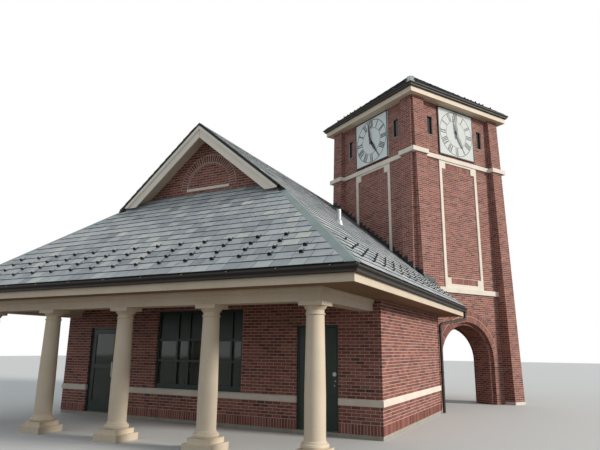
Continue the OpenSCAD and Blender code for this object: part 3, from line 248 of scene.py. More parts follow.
class Batch:
    """Closed forms gathered into one mesh, each with a tone of its own."""

    def __init__(self):
        self.verts = []
        self.faces = []
        self.tones = []

    def loft(self, rings, closed=False, tone=0.5):
        """A skin over rings with as many points each, closed to a loop or capped at both ends."""
        base, k, n = len(self.verts), len(rings[0]), len(rings)
        for points in rings:
            self.verts.extend(points)
        new = [] if closed else [list(range(base + k - 1, base - 1, -1)), list(range(base + (n - 1) * k, base + n * k))]
        for j in range(n if closed else n - 1):
            a, b = base + j * k, base + (j + 1) % n * k
            new += [[a + i, a + (i + 1) % k, b + (i + 1) % k, b + i] for i in range(k)]
        self.faces.extend(new)
        self.tones.extend([tone] * len(new))

    def prism(self, place, quad, n0, n1, tone=0.5):
        """A block over the outline quad from height n0 to n1, where n1 may differ from corner to corner."""
        tops = n1 if isinstance(n1, list) else [n1] * len(quad)
        self.loft([[place(u, v, n0) for u, v in quad], [place(u, v, n) for (u, v), n in zip(quad, tops)]], tone=tone)

    def box(self, a, b):
        self.prism(lambda u, v, n: (u, v, n), rect(a[0], a[1], b[0], b[1]), a[2], b[2])

    def mesh(self, name):
        mesh = bpy.data.meshes.new(name)
        mesh.from_pydata([tuple(v) for v in self.verts], [], self.faces)
        mesh.attributes.new("tone", "FLOAT", "FACE").data.foreach_set("value", self.tones)
        bm = bmesh.new()
        bm.from_mesh(mesh)
        bmesh.ops.recalc_face_normals(bm, faces=bm.faces)
        bm.to_mesh(mesh)
        bm.free()
        return mesh

    def make(self, name, mat, body=ROOT, slot=None, bevel=0.0):
        mesh = self.mesh(name)
        mesh.materials.append(M[mat])
        obj = bpy.data.objects.new(name, mesh)
        bpy.context.collection.objects.link(obj)
        if bevel:
            mod = obj.modifiers.new("edge", "BEVEL")
            mod.width = bevel
            mod.segments = 2
            mod.limit_method = "ANGLE"
        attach(obj, body)
        return obj


def carved(name, source, cuts, mat):
    """A piece with the shape of a solid part less the prisms in cuts, shown in place of that part."""
    obj = bpy.data.objects.new(name, source.data.copy())
    bpy.context.collection.objects.link(obj)
    tools = []
    for cut in cuts:
        b = Batch()
        b.prism(*cut)
        tool = bpy.data.objects.new("cut", b.mesh("cut"))
        bpy.context.collection.objects.link(tool)
        tools.append(tool)
        mod = obj.modifiers.new("cut", "BOOLEAN")
        mod.operation = "DIFFERENCE"
        mod.solver = "EXACT"
        mod.object = tool
    mesh = bpy.data.meshes.new_from_object(obj.evaluated_get(bpy.context.evaluated_depsgraph_get()))
    obj.modifiers.clear()
    obj.data = mesh
    mesh.name = name
    mesh.materials.clear()
    mesh.materials.append(M[mat])
    mesh.polygons.foreach_set("use_smooth", [False] * len(mesh.polygons))
    for tool in tools:
        bpy.data.objects.remove(tool)
    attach(obj, ROOT)
    return obj


def plane(o, u, v, n):
    """Maps face coordinates to the model: o plus u, v and n along the three directions."""
    o, u, v, n = Vector(o), Vector(u), Vector(v), Vector(n)
    return lambda a, b, c: o + u * a + v * b + n * c


def minus(spans, a, b):
    out = []
    for lo, hi in spans:
        if b <= lo or a >= hi:
            out.append((lo, hi))
            continue
        if a > lo:
            out.append((lo, a))
        if b < hi:
            out.append((b, hi))
    return out


def spans_at(v, vm, base, rects=(), curves=()):
    """What is left of the base at height v between the holes; vm is the middle of the unit's height."""
    lo, hi = base(v)
    spans = [(lo, hi)] if hi > lo else []
    for u0, u1, v0, v1 in rects:
        if v0 < vm < v1:
            spans = minus(spans, u0, u1)
    for curve in curves:
        hit = curve(v)
        if hit:
            spans = minus(spans, hit[0], hit[1])
    return spans


def clipped(outline, lines):
    """The part of a convex outline on the left of each line, or nothing where only a sliver is left."""
    for (ax, ay), (bx, by) in lines:
        kept = []
        side = [(bx - ax) * (y - ay) - (by - ay) * (x - ax) for x, y in outline]
        for i, (x, y) in enumerate(outline):
            j = (i + 1) % len(outline)
            if side[i] >= 0:
                kept.append((x, y))
            if side[i] * side[j] < 0:
                t = side[i] / (side[i] - side[j])
                kept.append((x + (outline[j][0] - x) * t, y + (outline[j][1] - y) * t))
        outline = kept
    area = abs(sum(x0 * y1 - x1 * y0 for (x0, y0), (x1, y1) in zip(outline, outline[1:] + outline[:1]))) / 2
    return outline if area >= 4e-4 else []


def brick_tone():
    t = rng.betavariate(2.2, 2.0)
    return min(1.0, t + 0.25) if rng.random() < 0.06 else t


def courses(batch, place, v0, v1, base, rects=(), curves=(), module=MODULE, shift=0.0, start=0):
    """Bricks in running bond between v0 and v1, cut to the outline and round the holes."""

    def strip(a, b, mid, row, shades):
        low_spans = spans_at(a + 1e-4, mid, base, rects, curves)
        high_spans = spans_at(b - 1e-4, mid, base, rects, curves)
        if len(low_spans) != len(high_spans):
            if b - a > 0.009:
                half = (a + b) / 2
                strip(a, half, mid, row, shades)
                strip(half, b, mid, row, shades)
                return
            low_spans = high_spans = spans_at((a + b) / 2, mid, base, rects, curves)
        for (l0, r0), (l1, r1) in zip(low_spans, high_spans):
            ends = [((l1, b), (l0, a)), ((r0, a), (r1, b))]
            k0 = math.floor((min(l0, l1) - row) / module) - 1
            k1 = math.ceil((max(r0, r1) - row) / module) + 1
            for k in range(k0, k1):
                x0 = row + k * module + JOINT / 2
                x1 = x0 + module - JOINT
                brick = clipped(rect(x0, a, x1, b), ends)
                if not brick:
                    continue
                if k not in shades:
                    shades[k] = brick_tone()
                batch.prism(place, brick, -SUNK, PROUD, shades[k])

    i = 0
    v = v0
    while v < v1 - 0.006:
        top = min(v + COURSE - JOINT, v1)
        cuts = sorted({v, top} | {e for r in rects for e in r[2:4] if v + 0.004 < e < top - 0.004})
        shades = {}
        for a, b in zip(cuts, cuts[1:]):
            if b - a > 0.006:
                strip(a, b, (a + b) / 2, module / 2 * ((i + start) % 2) + shift, shades)
        v += COURSE
        i += 1


def soldiers(batch, place, u0, u1, v0, v1):
    """Bricks on end, side by side."""
    n = max(1, round((u1 - u0 + JOINT) / COURSE))
    step = (u1 - u0 + JOINT) / n
    for i in range(n):
        a = u0 + i * step
        batch.prism(place, rect(a, v0, a + step - JOINT, v1), -SUNK, PROUD, brick_tone())


def ring(batch, place, cv, r0, r1, joint=0.008):
    """Bricks round half a circle with its centre at height cv."""
    n = max(1, round(math.pi * (r0 + r1) / 2 / COURSE))
    step = math.pi / n
    g0, g1 = joint / 2 / r0, joint / 2 / r1
    for i in range(n):
        s0 = i * step
        s1 = s0 + step
        corners = ((r0, s0 + g0), (r1, s0 + g1), (r1, s1 - g1), (r0, s1 - g0))
        batch.prism(place, [polar(r, t, 0, cv) for r, t in corners], -SUNK, PROUD, brick_tone())


def circle_hole(cv, r, floor=None):
    """Hole of radius r round height cv, open downwards as far as floor."""
    def hit(v):
        if v < cv:
            return (-r, r) if floor is not None and v > floor else None
        h = r * r - (v - cv) ** 2
        return (-math.sqrt(h), math.sqrt(h)) if h > 0 else None
    return hit


# Waiting room bricks
UP = (0, 0, 1)
SOLDIER_TOP = STRIP + MODULE
WALL_TOP = PLATE - 0.001
REAR_EDGE = -0.165


def front_at(inward):
    return plane((0, FRONT + inward, 0), (1, 0, 0), UP, (0, -1, 0))


def jamb(x, s):
    return plane((x, FRONT, 0), (0, 1, 0), UP, (s, 0, 0))


def jamb_span(v):
    return (0.0, JAMB)


def wall(place, u0, u1, top, rects=(), start=0, base=None):
    """Bricks of a wall: soldiers at the foot, then courses below and above the stone band."""
    b = Batch()
    edge = u0
    for g0, g1 in sorted(r[:2] for r in rects if r[2] < STRIP + 0.01) + [(u1, u1)]:
        if g0 > edge:
            soldiers(b, place, edge, g0, STRIP, SOLDIER_TOP - JOINT)
        edge = g1
    base = base or (lambda v: (u0, u1))
    courses(b, place, SOLDIER_TOP, BAND[0], base, rects, start=start)
    courses(b, place, BAND[1], top, base, rects, start=start + 1)
    return b


front = front_at(0)
right = plane((HALF, 0, 0), (0, 1, 0), UP, (1, 0, 0))
left = plane((-HALF, 0, 0), (0, -1, 0), UP, (-1, 0, 0))
rear = plane((0, REAR, 0), (-1, 0, 0), UP, (0, 1, 0))
b = wall(front, -HALF - PROUD, HALF + PROUD, WALL_TOP, [(*door, 0.0, DOOR_HEAD) for door in DOORS] + [WINDOW])
for door in DOORS:
    for x, s in zip(door, (1, -1)):
        courses(b, jamb(x, s), STRIP, BAND[0], jamb_span)
        courses(b, jamb(x, s), BAND[1], DOOR_HEAD - GAP, jamb_span, start=1)
for x, s in zip(WINDOW, (1, -1)):
    courses(b, jamb(x, s), WINDOW[2], WINDOW[3] - GAP, jamb_span, start=1)
b.make("front_bricks", "brick")
wall(right, FRONT, END_Y, WALL_TOP, start=1).make("right_bricks", "brick")
wall(left, -REAR, -FRONT, WALL_TOP, start=1).make("left_bricks", "brick")


def rear_span(v):
    return (REAR_EDGE, min(HALF + PROUD, LIP_X - (v - LIP_Z + SLAB + GAP) / K))


wall(rear, REAR_EDGE, HALF + PROUD, GABLE_TOP, base=rear_span).make("rear_bricks", "brick")

# Gable with its lunette: height of the centre, radius, width of the brick ring, radius of the infill
LUN_Z, LUN_R, LUN_RING, LUN_FILL = 5.760, 0.860, 0.200, 0.650


def gable_span(v):
    w = LIP_X - (v - LIP_Z + SLAB + 0.02) / K
    return (-w, w)


def infill_span(v):
    w = math.sqrt(max(0.0, LUN_FILL ** 2 - (v - LUN_Z) ** 2))
    return (-w, w)


b = Batch()
courses(b, front, GABLE_FOOT, GABLE_TOP, gable_span, [(-0.66, 0.66, LUN_Z - 0.07, LUN_Z)],
        [circle_hole(LUN_Z, LUN_R + GAP)])
ring(b, front_at(-0.008), LUN_Z, LUN_R - LUN_RING + 0.008, LUN_R - 0.014, joint=0.018)
courses(b, front_at(0.040), LUN_Z + GAP, LUN_Z + LUN_FILL - 0.010, infill_span)
b.make("gable_bricks", "brick")

# Tower bricks
CENTRE = Vector((TX, TY, 0))
FACES = ((180, "front"), (270, "side"), (0, "rear"), (90, "back"))
QUARTERS = (0, 90, 180, 270)
SILL, BELT = (3.558, 3.723), (8.085, 8.235)
PANEL, STRIP_W, EAR = 0.930, 0.114, 0.285
INNER = PANEL - EAR
FOOT_BLOCK, FOOT_RAIL, HEAD_BLOCK, HEAD_RAIL = 0.316, 0.124, 0.285, 0.070
CLOCK, CLOCK_Z = 0.888, 9.208
SLIT_X, SLIT_W, SLIT_Z, SLIT_H = 1.262, 0.255, 8.930, 0.682
PASS_R, RING_IN, RING_OUT, SPRING, ORDER = 1.140, 1.240, 1.624, 1.398, 0.110
HALL, HALL_Z = 1.358, 2.900
HALF_JOINT = JOINT / 2
FOOT_SOLDIER = (SILL[1] + FOOT_RAIL + HALF_JOINT, SILL[1] + FOOT_RAIL + HALF_JOINT + MODULE - JOINT)
HEAD_SOLDIER = (BELT[0] - HEAD_RAIL - HALF_JOINT - MODULE + JOINT, BELT[0] - HEAD_RAIL - HALF_JOINT)


def tower_dirs(a):
    """Directions along the tower face turned by a degrees, and out of it."""
    t = TURN + math.radians(a)
    return Vector((math.cos(t), math.sin(t), 0)), Vector((-math.sin(t), math.cos(t), 0))


def face_plane(a, n=0.0):
    u, o = tower_dirs(a)
    return plane(CENTRE + o * n, u, UP, o)


def batter(z):
    """Distance of the pilaster faces from the centre at height z."""
    return HALF_T + BATTER[0] + (BATTER[1] - BATTER[0]) * z / TOP


def bay_rects():
    """What stands in a bay in place of bricks: sill, belt, panel frame, dial, foot stones and slits."""
    z0, z1 = SILL[1], BELT[0]
    out = [(-BAY, BAY, *SILL), (-BAY, BAY, *BELT),
           (-PANEL, PANEL, z0, z0 + FOOT_RAIL), (-PANEL, PANEL, z1 - HEAD_RAIL, z1),
           (-CLOCK, CLOCK, CLOCK_Z - CLOCK, TOP), (-BAY, -BAY + 0.016, -1.0, BASE_H), (BAY - 0.016, BAY, -1.0, BASE_H),
           (-INNER, INNER, z0, FOOT_SOLDIER[1] + HALF_JOINT), (-INNER, INNER, HEAD_SOLDIER[0] - HALF_JOINT, z1)]
    for s in (-1, 1):
        for w, a, c in ((STRIP_W, z0, z1), (EAR, z0, z0 + FOOT_BLOCK), (EAR, z1 - HEAD_BLOCK, z1)):
            out.append((*sorted((s * PANEL, s * (PANEL - w))), a, c))
        x0, x1 = s * SLIT_X - SLIT_W / 2, s * SLIT_X + SLIT_W / 2
        out += [(x0, x1, SLIT_Z, SLIT_Z + SLIT_H), (x0 - 0.007, x1 + 0.007, SLIT_Z - 0.029, SLIT_Z)]
    return out


for a, tag in FACES:
    b = Batch()
    bay = face_plane(a, CORE)
    soldiers(b, bay, 0.006 - INNER, INNER - 0.006, *FOOT_SOLDIER)
    soldiers(b, bay, 0.006 - INNER, INNER - 0.006, *HEAD_SOLDIER)
    arch = [circle_hole(SPRING, RING_OUT + 0.005, -1.0)] if a != 180 else []
    courses(b, bay, GAP, TOP, lambda v: (-BAY, BAY), bay_rects(), arch)
    slope = math.atan2(BATTER[0] - BATTER[1], TOP)
    cs, sn = math.cos(slope), math.sin(slope)
    u, o = tower_dirs(a)
    pil = plane(CENTRE + o * (HALF_T + BATTER[0]), u, (-o.x * sn, -o.y * sn, cs), (o.x * cs, o.y * cs, sn))
    for s in (-1, 1):
        lo, hi = sorted((s * PIL[0], s * PIL[1]))
        courses(b, pil, GAP, TOP / cs - 0.002, lambda v: (lo - PROUD, hi + PROUD),
                [(-3, 3, BELT[0] / cs, BELT[1] / cs), (-3, 3, -1.0, BASE_H / cs)], start=1)
        for edge, near, sgn in ((PIL[0], CORE, -1), (PIL[1], PIL[1], 1)):
            holes = [(0, 3, *BELT), (0, 3, -1.0, BASE_H)]
            if edge == PIL[0]:
                holes.append((CORE, CORE + 0.060, *SILL))
            courses(b, plane(CENTRE + u * (s * edge), o, UP, u * (s * sgn)), GAP, TOP,
                    lambda v: (near, batter(v) - 0.0005), holes)
    b.make("tower_%s_bricks" % tag, "brick")


def stack(batch, place, s, r0, r1):
    """Bricks one above another up to the springing, each as wide as the ring from r0 to r1."""
    lo, hi = sorted((s * r0, s * r1))
    courses(batch, place, GAP, SPRING - GAP, lambda v: (lo, hi), module=1.0, shift=-0.5)


b = Batch()
for a in (0, 90, 270):
    face, step = face_plane(a, CORE), face_plane(a, CORE - ORDER)
    mid = (RING_IN + RING_OUT) / 2
    for r0, r1 in ((RING_IN, mid - HALF_JOINT), (mid + HALF_JOINT, RING_OUT - 0.003)):
        ring(b, face, SPRING, r0 + 0.004, r1)
        for s in (-1, 1):
            stack(b, face, s, r0 + 0.002, r1)
    ring(b, step, SPRING, PASS_R, RING_IN - 0.012)
    for s in (-1, 1):
        stack(b, step, s, PASS_R, RING_IN - 0.002)
    u, o = tower_dirs(a)
    for r, n0, n1 in ((RING_IN, CORE - ORDER, CORE), (PASS_R, HALL, CORE - ORDER)):
        for s in (-1, 1):
            courses(b, plane(CENTRE + u * (s * r), o, UP, u * (-s)), GAP, SPRING - GAP, lambda v: (n0, n1))

        def vault(du, dv, dn):
            t = dv / r
            return CENTRE + o * du + u * ((r - dn) * math.cos(t)) + Vector((0, 0, SPRING + (r - dn) * math.sin(t)))
        courses(b, vault, 0.0, math.pi * r - GAP, lambda v: (n0, n1))
b.make("arch_bricks", "brick")


def arch_outline(r, foot=-1.0):
    return [(r, foot)] + [polar(r, math.pi * i / 48, 0, SPRING) for i in range(49)] + [(-r, foot)]


# Hall under the tower, open to the right, left and rear
rear_face = face_plane(0)
u, o = tower_dirs(0)
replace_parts(carved("tower_base_open", node["tower_base"],
                   [(plane(CENTRE, u, o, UP), rect(-HALL, -HALL, HALL, HALL), -1.0, HALL_Z),
                    (rear_face, arch_outline(PASS_R), 0.5, CORE + 0.1),
                    (rear_face, arch_outline(RING_OUT), CORE - ORDER, CORE + 0.3)], "mortar"), "tower_base")
b = Batch()
b.prism(rear_face, arch_outline(RING_OUT - 0.0003, 0.0) + arch_outline(RING_IN, 0.0)[::-1], CORE - ORDER + 0.0003, CORE)
b.make("rear_arch_ring", "mortar", slot="brick")

# Slits with their glass, frames and sills
SLIT_FRAME = 0.022
slits = []
for a in QUARTERS:
    for x in (-SLIT_X, SLIT_X):
        hole = rect(x - SLIT_W / 2, SLIT_Z, x + SLIT_W / 2, SLIT_Z + SLIT_H)
        slits.append((face_plane(a), hole, CORE - 0.340, CORE + 0.2))
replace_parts(carved("tower_shaft_slits", node["tower_shaft"], slits, "mortar"), "tower_shaft")
b, frame_b, sill_b = Batch(), Batch(), Batch()
for place, hole, *_ in slits:
    (x0, z0), (x1, z1) = hole[0], hole[2]
    b.prism(place, rect(x0 + 0.001, z0 + 0.001, x1 - 0.001, z1 - 0.001), CORE - 0.090, CORE - 0.070)
    xa, xb, za, zb = x0 + SLIT_FRAME, x1 - SLIT_FRAME, z0 + SLIT_FRAME, z1 - SLIT_FRAME
    for q in (rect(x0, z0, xa, z1), rect(xb, z0, x1, z1), rect(xa, z0, xb, za), rect(xa, zb, xb, z1)):
        frame_b.prism(place, q, CORE - 0.070, CORE - 0.045)
    sill_b.prism(place, rect(x0 - 0.006, z0 - 0.0285, x1 + 0.006, z0 + 0.0005), CORE - 0.004, CORE + 0.018)
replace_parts(b.make("slit_glass", "dark_glass"), "slit_panes")
frame_b.make("slit_frames", "bronze_metal")
sill_b.make("slit_sills", "concrete", slot="limestone")
b = Batch()
for a in QUARTERS:
    u, o = tower_dirs(a)
    arch = [circle_hole(SPRING, PASS_R + GAP, -1.0)] if a != 180 else []
    courses(b, plane(CENTRE + o * HALL, u, UP, -o), GAP, HALL_Z - 0.002, lambda v: (GAP - HALL, HALL - GAP), (), arch)
b.make("hall_bricks", "brick")

# Slates: row, overhang at the eave, joint, thickness at the butt and at the head
ROW, OVERHANG, SLATE_JOINT, SLATE_LIFT, SLATE_THIN = 0.236, 0.032, 0.007, 0.016, 0.004
SLATE_WIDTHS = (0.254, 0.280, 0.305, 0.330, 0.356)
# Edge of the slates at the eaves, half width of the hip caps, verge of the gable
edge_x, edge_y, t_edge = LIP_X - EDGE, LIP_Y + EDGE, T_LIP - EDGE
CAP = 0.182
VERGE_Y = GABLE_Y - 0.068


def slate_tone():
    return min(1.0, max(0.10, rng.gauss(0.48, 0.22)))


def slates(batch, place, v1, base):
    v = -OVERHANG
    row = 0
    while v < v1 - 0.02:
        top = min(v + ROW, v1)
        mid = (v + top) / 2
        low_spans, high_spans = spans_at(v, mid, base), spans_at(top, mid, base)
        if len(low_spans) != len(high_spans):
            low_spans = high_spans = spans_at(mid, mid, base)
        x = -14.0 + (row % 2) * SLATE_WIDTHS[2] / 2 + rng.uniform(-0.03, 0.03)
        joints = []
        while x < 14.0:
            joints.append(x)
            x += rng.choice(SLATE_WIDTHS)
        for (l0, r0), (l1, r1) in zip(low_spans, high_spans):
            ends = [((l1, top), (l0, v)), ((r0, v), (r1, top))]
            for x0, x1 in zip(joints, joints[1:]):
                slate = clipped(rect(x0 + SLATE_JOINT / 2, v, x1 - SLATE_JOINT / 2, top), ends)
                if not slate:
                    continue
                h = SLATE_LIFT + rng.uniform(-0.0015, 0.0025)
                tops = [h + (SLATE_THIN - h) * (q[1] - v) / (top - v) for q in slate]
                batch.prism(place, slate, -0.003, tops, slate_tone())
                # The sides of each slate take tone 0, the dark stop: painted shade lines at the butts and joints
                batch.tones[-len(slate):] = [0.0] * len(slate)
        v += ROW
        row += 1


def slope_plane(o, along, outward):
    """Roof plane with its origin on the eave line, u along the eave and v up the slope."""
    out = Vector(outward)
    return plane(o, along, (-out.x * CS, -out.y * CS, SN), (out.x * SN, out.y * SN, CS))


def tower_slope(a):
    u, o = tower_dirs(a)
    return slope_plane(CENTRE + o * t_edge + Vector((0, 0, T_LIP_Z + K * EDGE)), u, o)


def tower_span(v):
    w = t_edge - v * CS - CAP
    return (-w, w)


def front_span(v):
    y = edge_y + v * CS
    if y < GABLE_Y:
        w = edge_x - (y - edge_y) - CAP
    else:
        w = min(edge_x - (y - edge_y) - 0.03, LIP_X - (y - LIP_Y) - SLAB / K - 0.06)
    return (-w, w)


def near_edge(x):
    """Where the slates of a side slope begin: at the gable verge or beside the hip cap."""
    return VERGE_Y if x < edge_x + edge_y - GABLE_Y else edge_y + (edge_x - x) + CAP


def left_span(v):
    return (near_edge(edge_x - v * CS), REAR_VERGE)


def in_tower(x, y, z, grow=0.012):
    dx, dy = x - TX, y - TY
    c, s = math.cos(TURN), math.sin(TURN)
    lx, ly = dx * c + dy * s, dy * c - dx * s
    if max(abs(lx), abs(ly)) < CORE + grow:
        return True
    return any(PIL[0] - grow < abs(a) < PIL[1] + grow and abs(c) < batter(z) + grow for a, c in ((lx, ly), (ly, lx)))


def right_span(v):
    x = edge_x - v * CS
    y = GABLE_Y
    limit = VERGE if x > HALF - 0.526 else REAR_VERGE
    while y < limit and not in_tower(x, y, side_top(x)):
        y += 0.01
    return (near_edge(x), y)


front_slope = slope_plane((0, edge_y, side_top(edge_x)), (1, 0, 0), (0, -1, 0))
left_slope = slope_plane((-edge_x, 0, side_top(edge_x)), (0, 1, 0), (-1, 0, 0))
right_slope = slope_plane((edge_x, 0, side_top(edge_x)), (0, 1, 0), (1, 0, 0))
side_run = edge_x / CS - 0.146
b = Batch()
slates(b, front_slope, (FRONT - edge_y) / CS - 0.006, front_span)
b.make("front_slates", "slate")

# Gable verge: dark edge of the slates, partly a dark drip edge and partly painted shadow; rake boards in a lighter
# paint that is painted light, with their joint; lining under the overhang
HIP_X = edge_x + edge_y - GABLE_Y
RAKE_FOOT = LIP_Z + K * (GABLE_Y - LIP_Y) + 0.060
RAKE_UPPER = RAKE_H * 0.45
LINING, LINING_X = 0.1538, 2.300


def under_roof(x0, x1, high, low):
    """Outline of a board along the slope between two depths under the slates."""
    return [(x0, side_top(x0) - low), (x1, side_top(x1) - low), (x1, side_top(x1) - high), (x0, side_top(x0) - high)]


def mirrored(m):
    """Maps x times m, height and depth to the model."""
    return lambda x, z, y: Vector((m * x, y, z))


# Dark strip under the edge of the verge slates: partly a dark drip edge, partly painted shadow
b = Batch()
for m in (-1, 1):
    b.prism(mirrored(m), under_roof(0.0, HIP_X - 0.17, -0.001, RAKE_DROP - 0.001), GABLE_Y - 0.061, GABLE_Y - 0.0005)
b.make("verge_edges_painted_shadow", "underlay", slot="slate")
b = Batch()
for m in (-1, 1):
    for depth, thick in ((RAKE_H, 0.028), (RAKE_UPPER, 0.060)):
        board = clipped(under_roof(0.0, HIP_X, RAKE_DROP, depth),
                        [((0.0, RAKE_FOOT), (1.0, RAKE_FOOT)), ((HIP_X - 0.200, 0.0), (HIP_X - 0.200, 1.0))])
        b.prism(mirrored(m), board, GABLE_Y - 0.0003 - thick, GABLE_Y - 0.0003)
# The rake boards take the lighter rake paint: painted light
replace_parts(b.make("rake_boards_deep", "rake_paint_painted_light", slot="cream_paint"), "rake_boards")
b = Batch()
b.box((-0.002, GABLE_Y - 0.0615, side_top(0) - RAKE_UPPER), (0.002, GABLE_Y - 0.0602, side_top(0) - RAKE_DROP - 0.001))
b.box((-0.002, GABLE_Y - 0.0300, side_top(0) - RAKE_H + 0.001), (0.002, GABLE_Y - 0.0284, side_top(0) - RAKE_UPPER))
b.make("rake_joint", "sealant", slot="soffit_paint")
b = Batch()
for m in (-1, 1):
    b.prism(mirrored(m), under_roof(0.0, LINING_X, LINING + 0.001, LINING + 0.007), GABLE_Y + 0.002, FRONT - 0.005)
b.make("gable_lining", "cream_paint")

b = Batch()
slates(b, left_slope, side_run, left_span)
b.make("left_slates", "slate")
b = Batch()
slates(b, right_slope, side_run, right_span)
b.make("right_slates", "slate")
b = Batch()
for a in QUARTERS:
    slates(b, tower_slope(a), t_edge / CS - 0.24, tower_span)
b.make("tower_slates", "slate")

# Snow guards: first row up the slope, spacing along it
GUARD_V, GUARD_STEP = 0.36, 0.600


def snow_guard(batch, place, u, v, size=1.0):
    """A cast pad with a strap up the slope and a rounded upright plate."""
    batch.prism(place, rect(u - 0.018, v, u + 0.018, v + 0.13), 0.010, 0.017)
    arc = [math.pi * i / 8 for i in range(9)]
    rise = [0.062 * size * math.sin(t) ** 0.7 if 0 < t < math.pi else 0.0 for t in arc]
    batch.loft([[place(u + 0.042 * size * math.cos(t), v + dv, 0.012 + h) for t, h in zip(arc, rise)]
                for dv in (-0.006, 0.004)])


b = Batch()
for r in range(4):
    v = GUARD_V + r * ROW
    lo, hi = front_span(v)
    x = -4.9 + 0.06 * rng.random()
    while x < 4.9:
        if lo + 0.25 < x < hi - 0.25:
            snow_guard(b, front_slope, x + rng.uniform(-0.015, 0.015), v + rng.uniform(-0.006, 0.006))
        x += GUARD_STEP
    for place, span in ((right_slope, right_span), (left_slope, left_span)):
        lo, hi = span(v)
        y = -5.4
        while y < hi - 0.2:
            if y > lo + 0.25:
                snow_guard(b, place, y + rng.uniform(-0.015, 0.015), v + rng.uniform(-0.006, 0.006))
            y += GUARD_STEP
for a in QUARTERS:
    for r in range(3):
        v = GUARD_V + r * ROW
        w = t_edge - v * CS - 0.25
        n = int(2 * w / GUARD_STEP)
        for i in range(n + 1):
            snow_guard(b, tower_slope(a), -w + i * 2 * w / n + rng.uniform(-0.02, 0.02), v, 0.8)
b.make("snow_guards", "guard_black", slot="bronze_metal")

# Dials: front of the panels, numerals between two radii, widths of the letters and of their strokes
DIAL_N = CORE + 0.040
NUMERALS = ("XII", "I", "II", "III", "IIII", "V", "VI", "VII", "VIII", "IX", "X", "XI")
LOW, HIGH = 0.528, 0.782
WIDTHS = {"I": 0.054, "V": 0.104, "X": 0.106}
THICK, FINE = 0.035, 0.017
STROKES = {"I": ((0.0, 0.0, THICK),), "V": ((0.0, -0.027, THICK), (0.0, 0.030, FINE)),
           "X": ((0.028, -0.028, THICK), (-0.030, 0.030, FINE))}


def dial_plane(a):
    u, o = tower_dirs(a)
    return plane(CENTRE + Vector((0, 0, CLOCK_Z)), -u, UP, o)


def dial(a, tag):
    """Rings, minute marks, numerals and the metal edge of a dial."""
    b = Batch()
    n0, n1 = DIAL_N, DIAL_N + 0.0015
    face = dial_plane(a)
    for r0, r1 in ((0.803, 0.822), (0.489, 0.504)):
        for i in range(96):
            s0, s1 = 2 * math.pi * i / 96, 2 * math.pi * (i + 1) / 96
            b.prism(face, [polar(r0, s0), polar(r1, s0), polar(r1, s1), polar(r0, s1)], n0, n1)
    for i in range(60):
        w = 0.020 if i % 5 else 0.036
        c, d = math.cos(2 * math.pi * i / 60), math.sin(2 * math.pi * i / 60)
        mark = [(r * c - t * d, r * d + t * c) for r, t in rect(0.798, -w / 2, 0.830, w / 2)]
        b.prism(face, mark, n0, n1 + 0.0005)
    for h, text in enumerate(NUMERALS):
        s = math.pi / 2 - 2 * math.pi * h / 12
        c, d = math.cos(s), math.sin(s)

        def upright(x, r, n):
            return face(r * c + x * d, r * d - x * c, n)
        total = sum(WIDTHS[ch] for ch in text)
        x = -total / 2
        for ch in text:
            m = x + WIDTHS[ch] / 2
            for xa, xb, w in STROKES[ch]:
                stroke = [(m + xa - w / 2, LOW), (m + xa + w / 2, LOW), (m + xb + w / 2, HIGH), (m + xb - w / 2, HIGH)]
                b.prism(upright, stroke, n0, n1)
            x += WIDTHS[ch]
        for r in (LOW - 0.004, HIGH - 0.006):
            b.prism(upright, rect(-total / 2 + 0.008, r, total / 2 - 0.008, r + 0.010), n0, n1)
    b.make("dial_marks_" + tag, "dial_ink", slot="hand_black")
    b = Batch()
    w, e = CLOCK, CLOCK - 0.036
    for q in (rect(-w, -w, w, -e), rect(-w, e, w, w), rect(-w, -w, -e, w), rect(e, -w, w, w)):
        b.prism(face, q, CORE + 0.002, CORE + 0.050)
    b.make("dial_edge_" + tag, "bronze_metal")


for a, tag in FACES:
    dial(a, tag)

# Blades of the hands: turns clockwise from twelve, thickness, distances from the tower's centre
MINUTE_TURN, HOUR_TURN, HAND_T = -7.5, 149.4, 0.008
HOUR_N = DIAL_N + 0.024
MINUTE_N = HOUR_N + HAND_T + 0.024


def blade(name, a, turn, reach, width, tail, belly, depth, body):
    """The broad blade over a hand."""
    side = [(0.32, -tail), (0.5, -tail * 0.5), (0.3, 0.0), (0.5, reach * belly), (0.34, reach * (belly + 0.28)),
            (0.16, reach)]
    outline = [(width * x, z) for x, z in side] + [(-width * x, z) for x, z in reversed(side)]
    c, d = math.cos(math.radians(turn)), math.sin(math.radians(turn))
    b = Batch()
    turned = [(x * c + z * d, z * c - x * d) for x, z in outline]
    b.prism(dial_plane(a), turned, depth - 0.0006, depth + HAND_T + 0.0006)
    b.make(name, "hand_black", body=body, bevel=0.001)


for a, tag in FACES:
    moving = tag in ("front", "side")
    blade("minute_blade_" + tag, a, MINUTE_TURN, 0.725, 0.112, 0.150, 0.30, MINUTE_N,
          tag + "_minute" if moving else ROOT)
    blade("hour_blade_" + tag, a, HOUR_TURN, 0.550, 0.128, 0.130, 0.50, HOUR_N,
          tag + "_hour" if moving else ROOT)


# Flashing
def junction():
    """Points where the right slope meets the tower, from the ridge to the verge."""
    c, s = math.cos(TURN), math.sin(TURN)
    stops = [("near", "pier", -PIL[1]), ("near", "pier", -BAY), ("near", "core", -BAY), ("near", "core", BAY),
             ("near", "pier", BAY), ("near", "pier", PIL[1]), ("edge", None, -PIL[1]), ("side", "pier", -PIL[1]),
             ("side", "pier", -BAY), ("side", "core", -BAY)]
    pts = []
    for where, kind, across in stops:
        z = 4.0
        for _ in range(6):
            out = PIL[1] if where == "edge" else (batter(z) if kind == "pier" else CORE)
            lx, ly = (across, -out) if where == "near" else (out, across)
            x, y = TX + lx * c - ly * s, TY + lx * s + ly * c
            z = side_top(x)
        pts.append((x, y, z))
    x, y, z = pts[-1]
    x += -s * (VERGE - y) / c
    return pts + [(x, VERGE, side_top(x))]


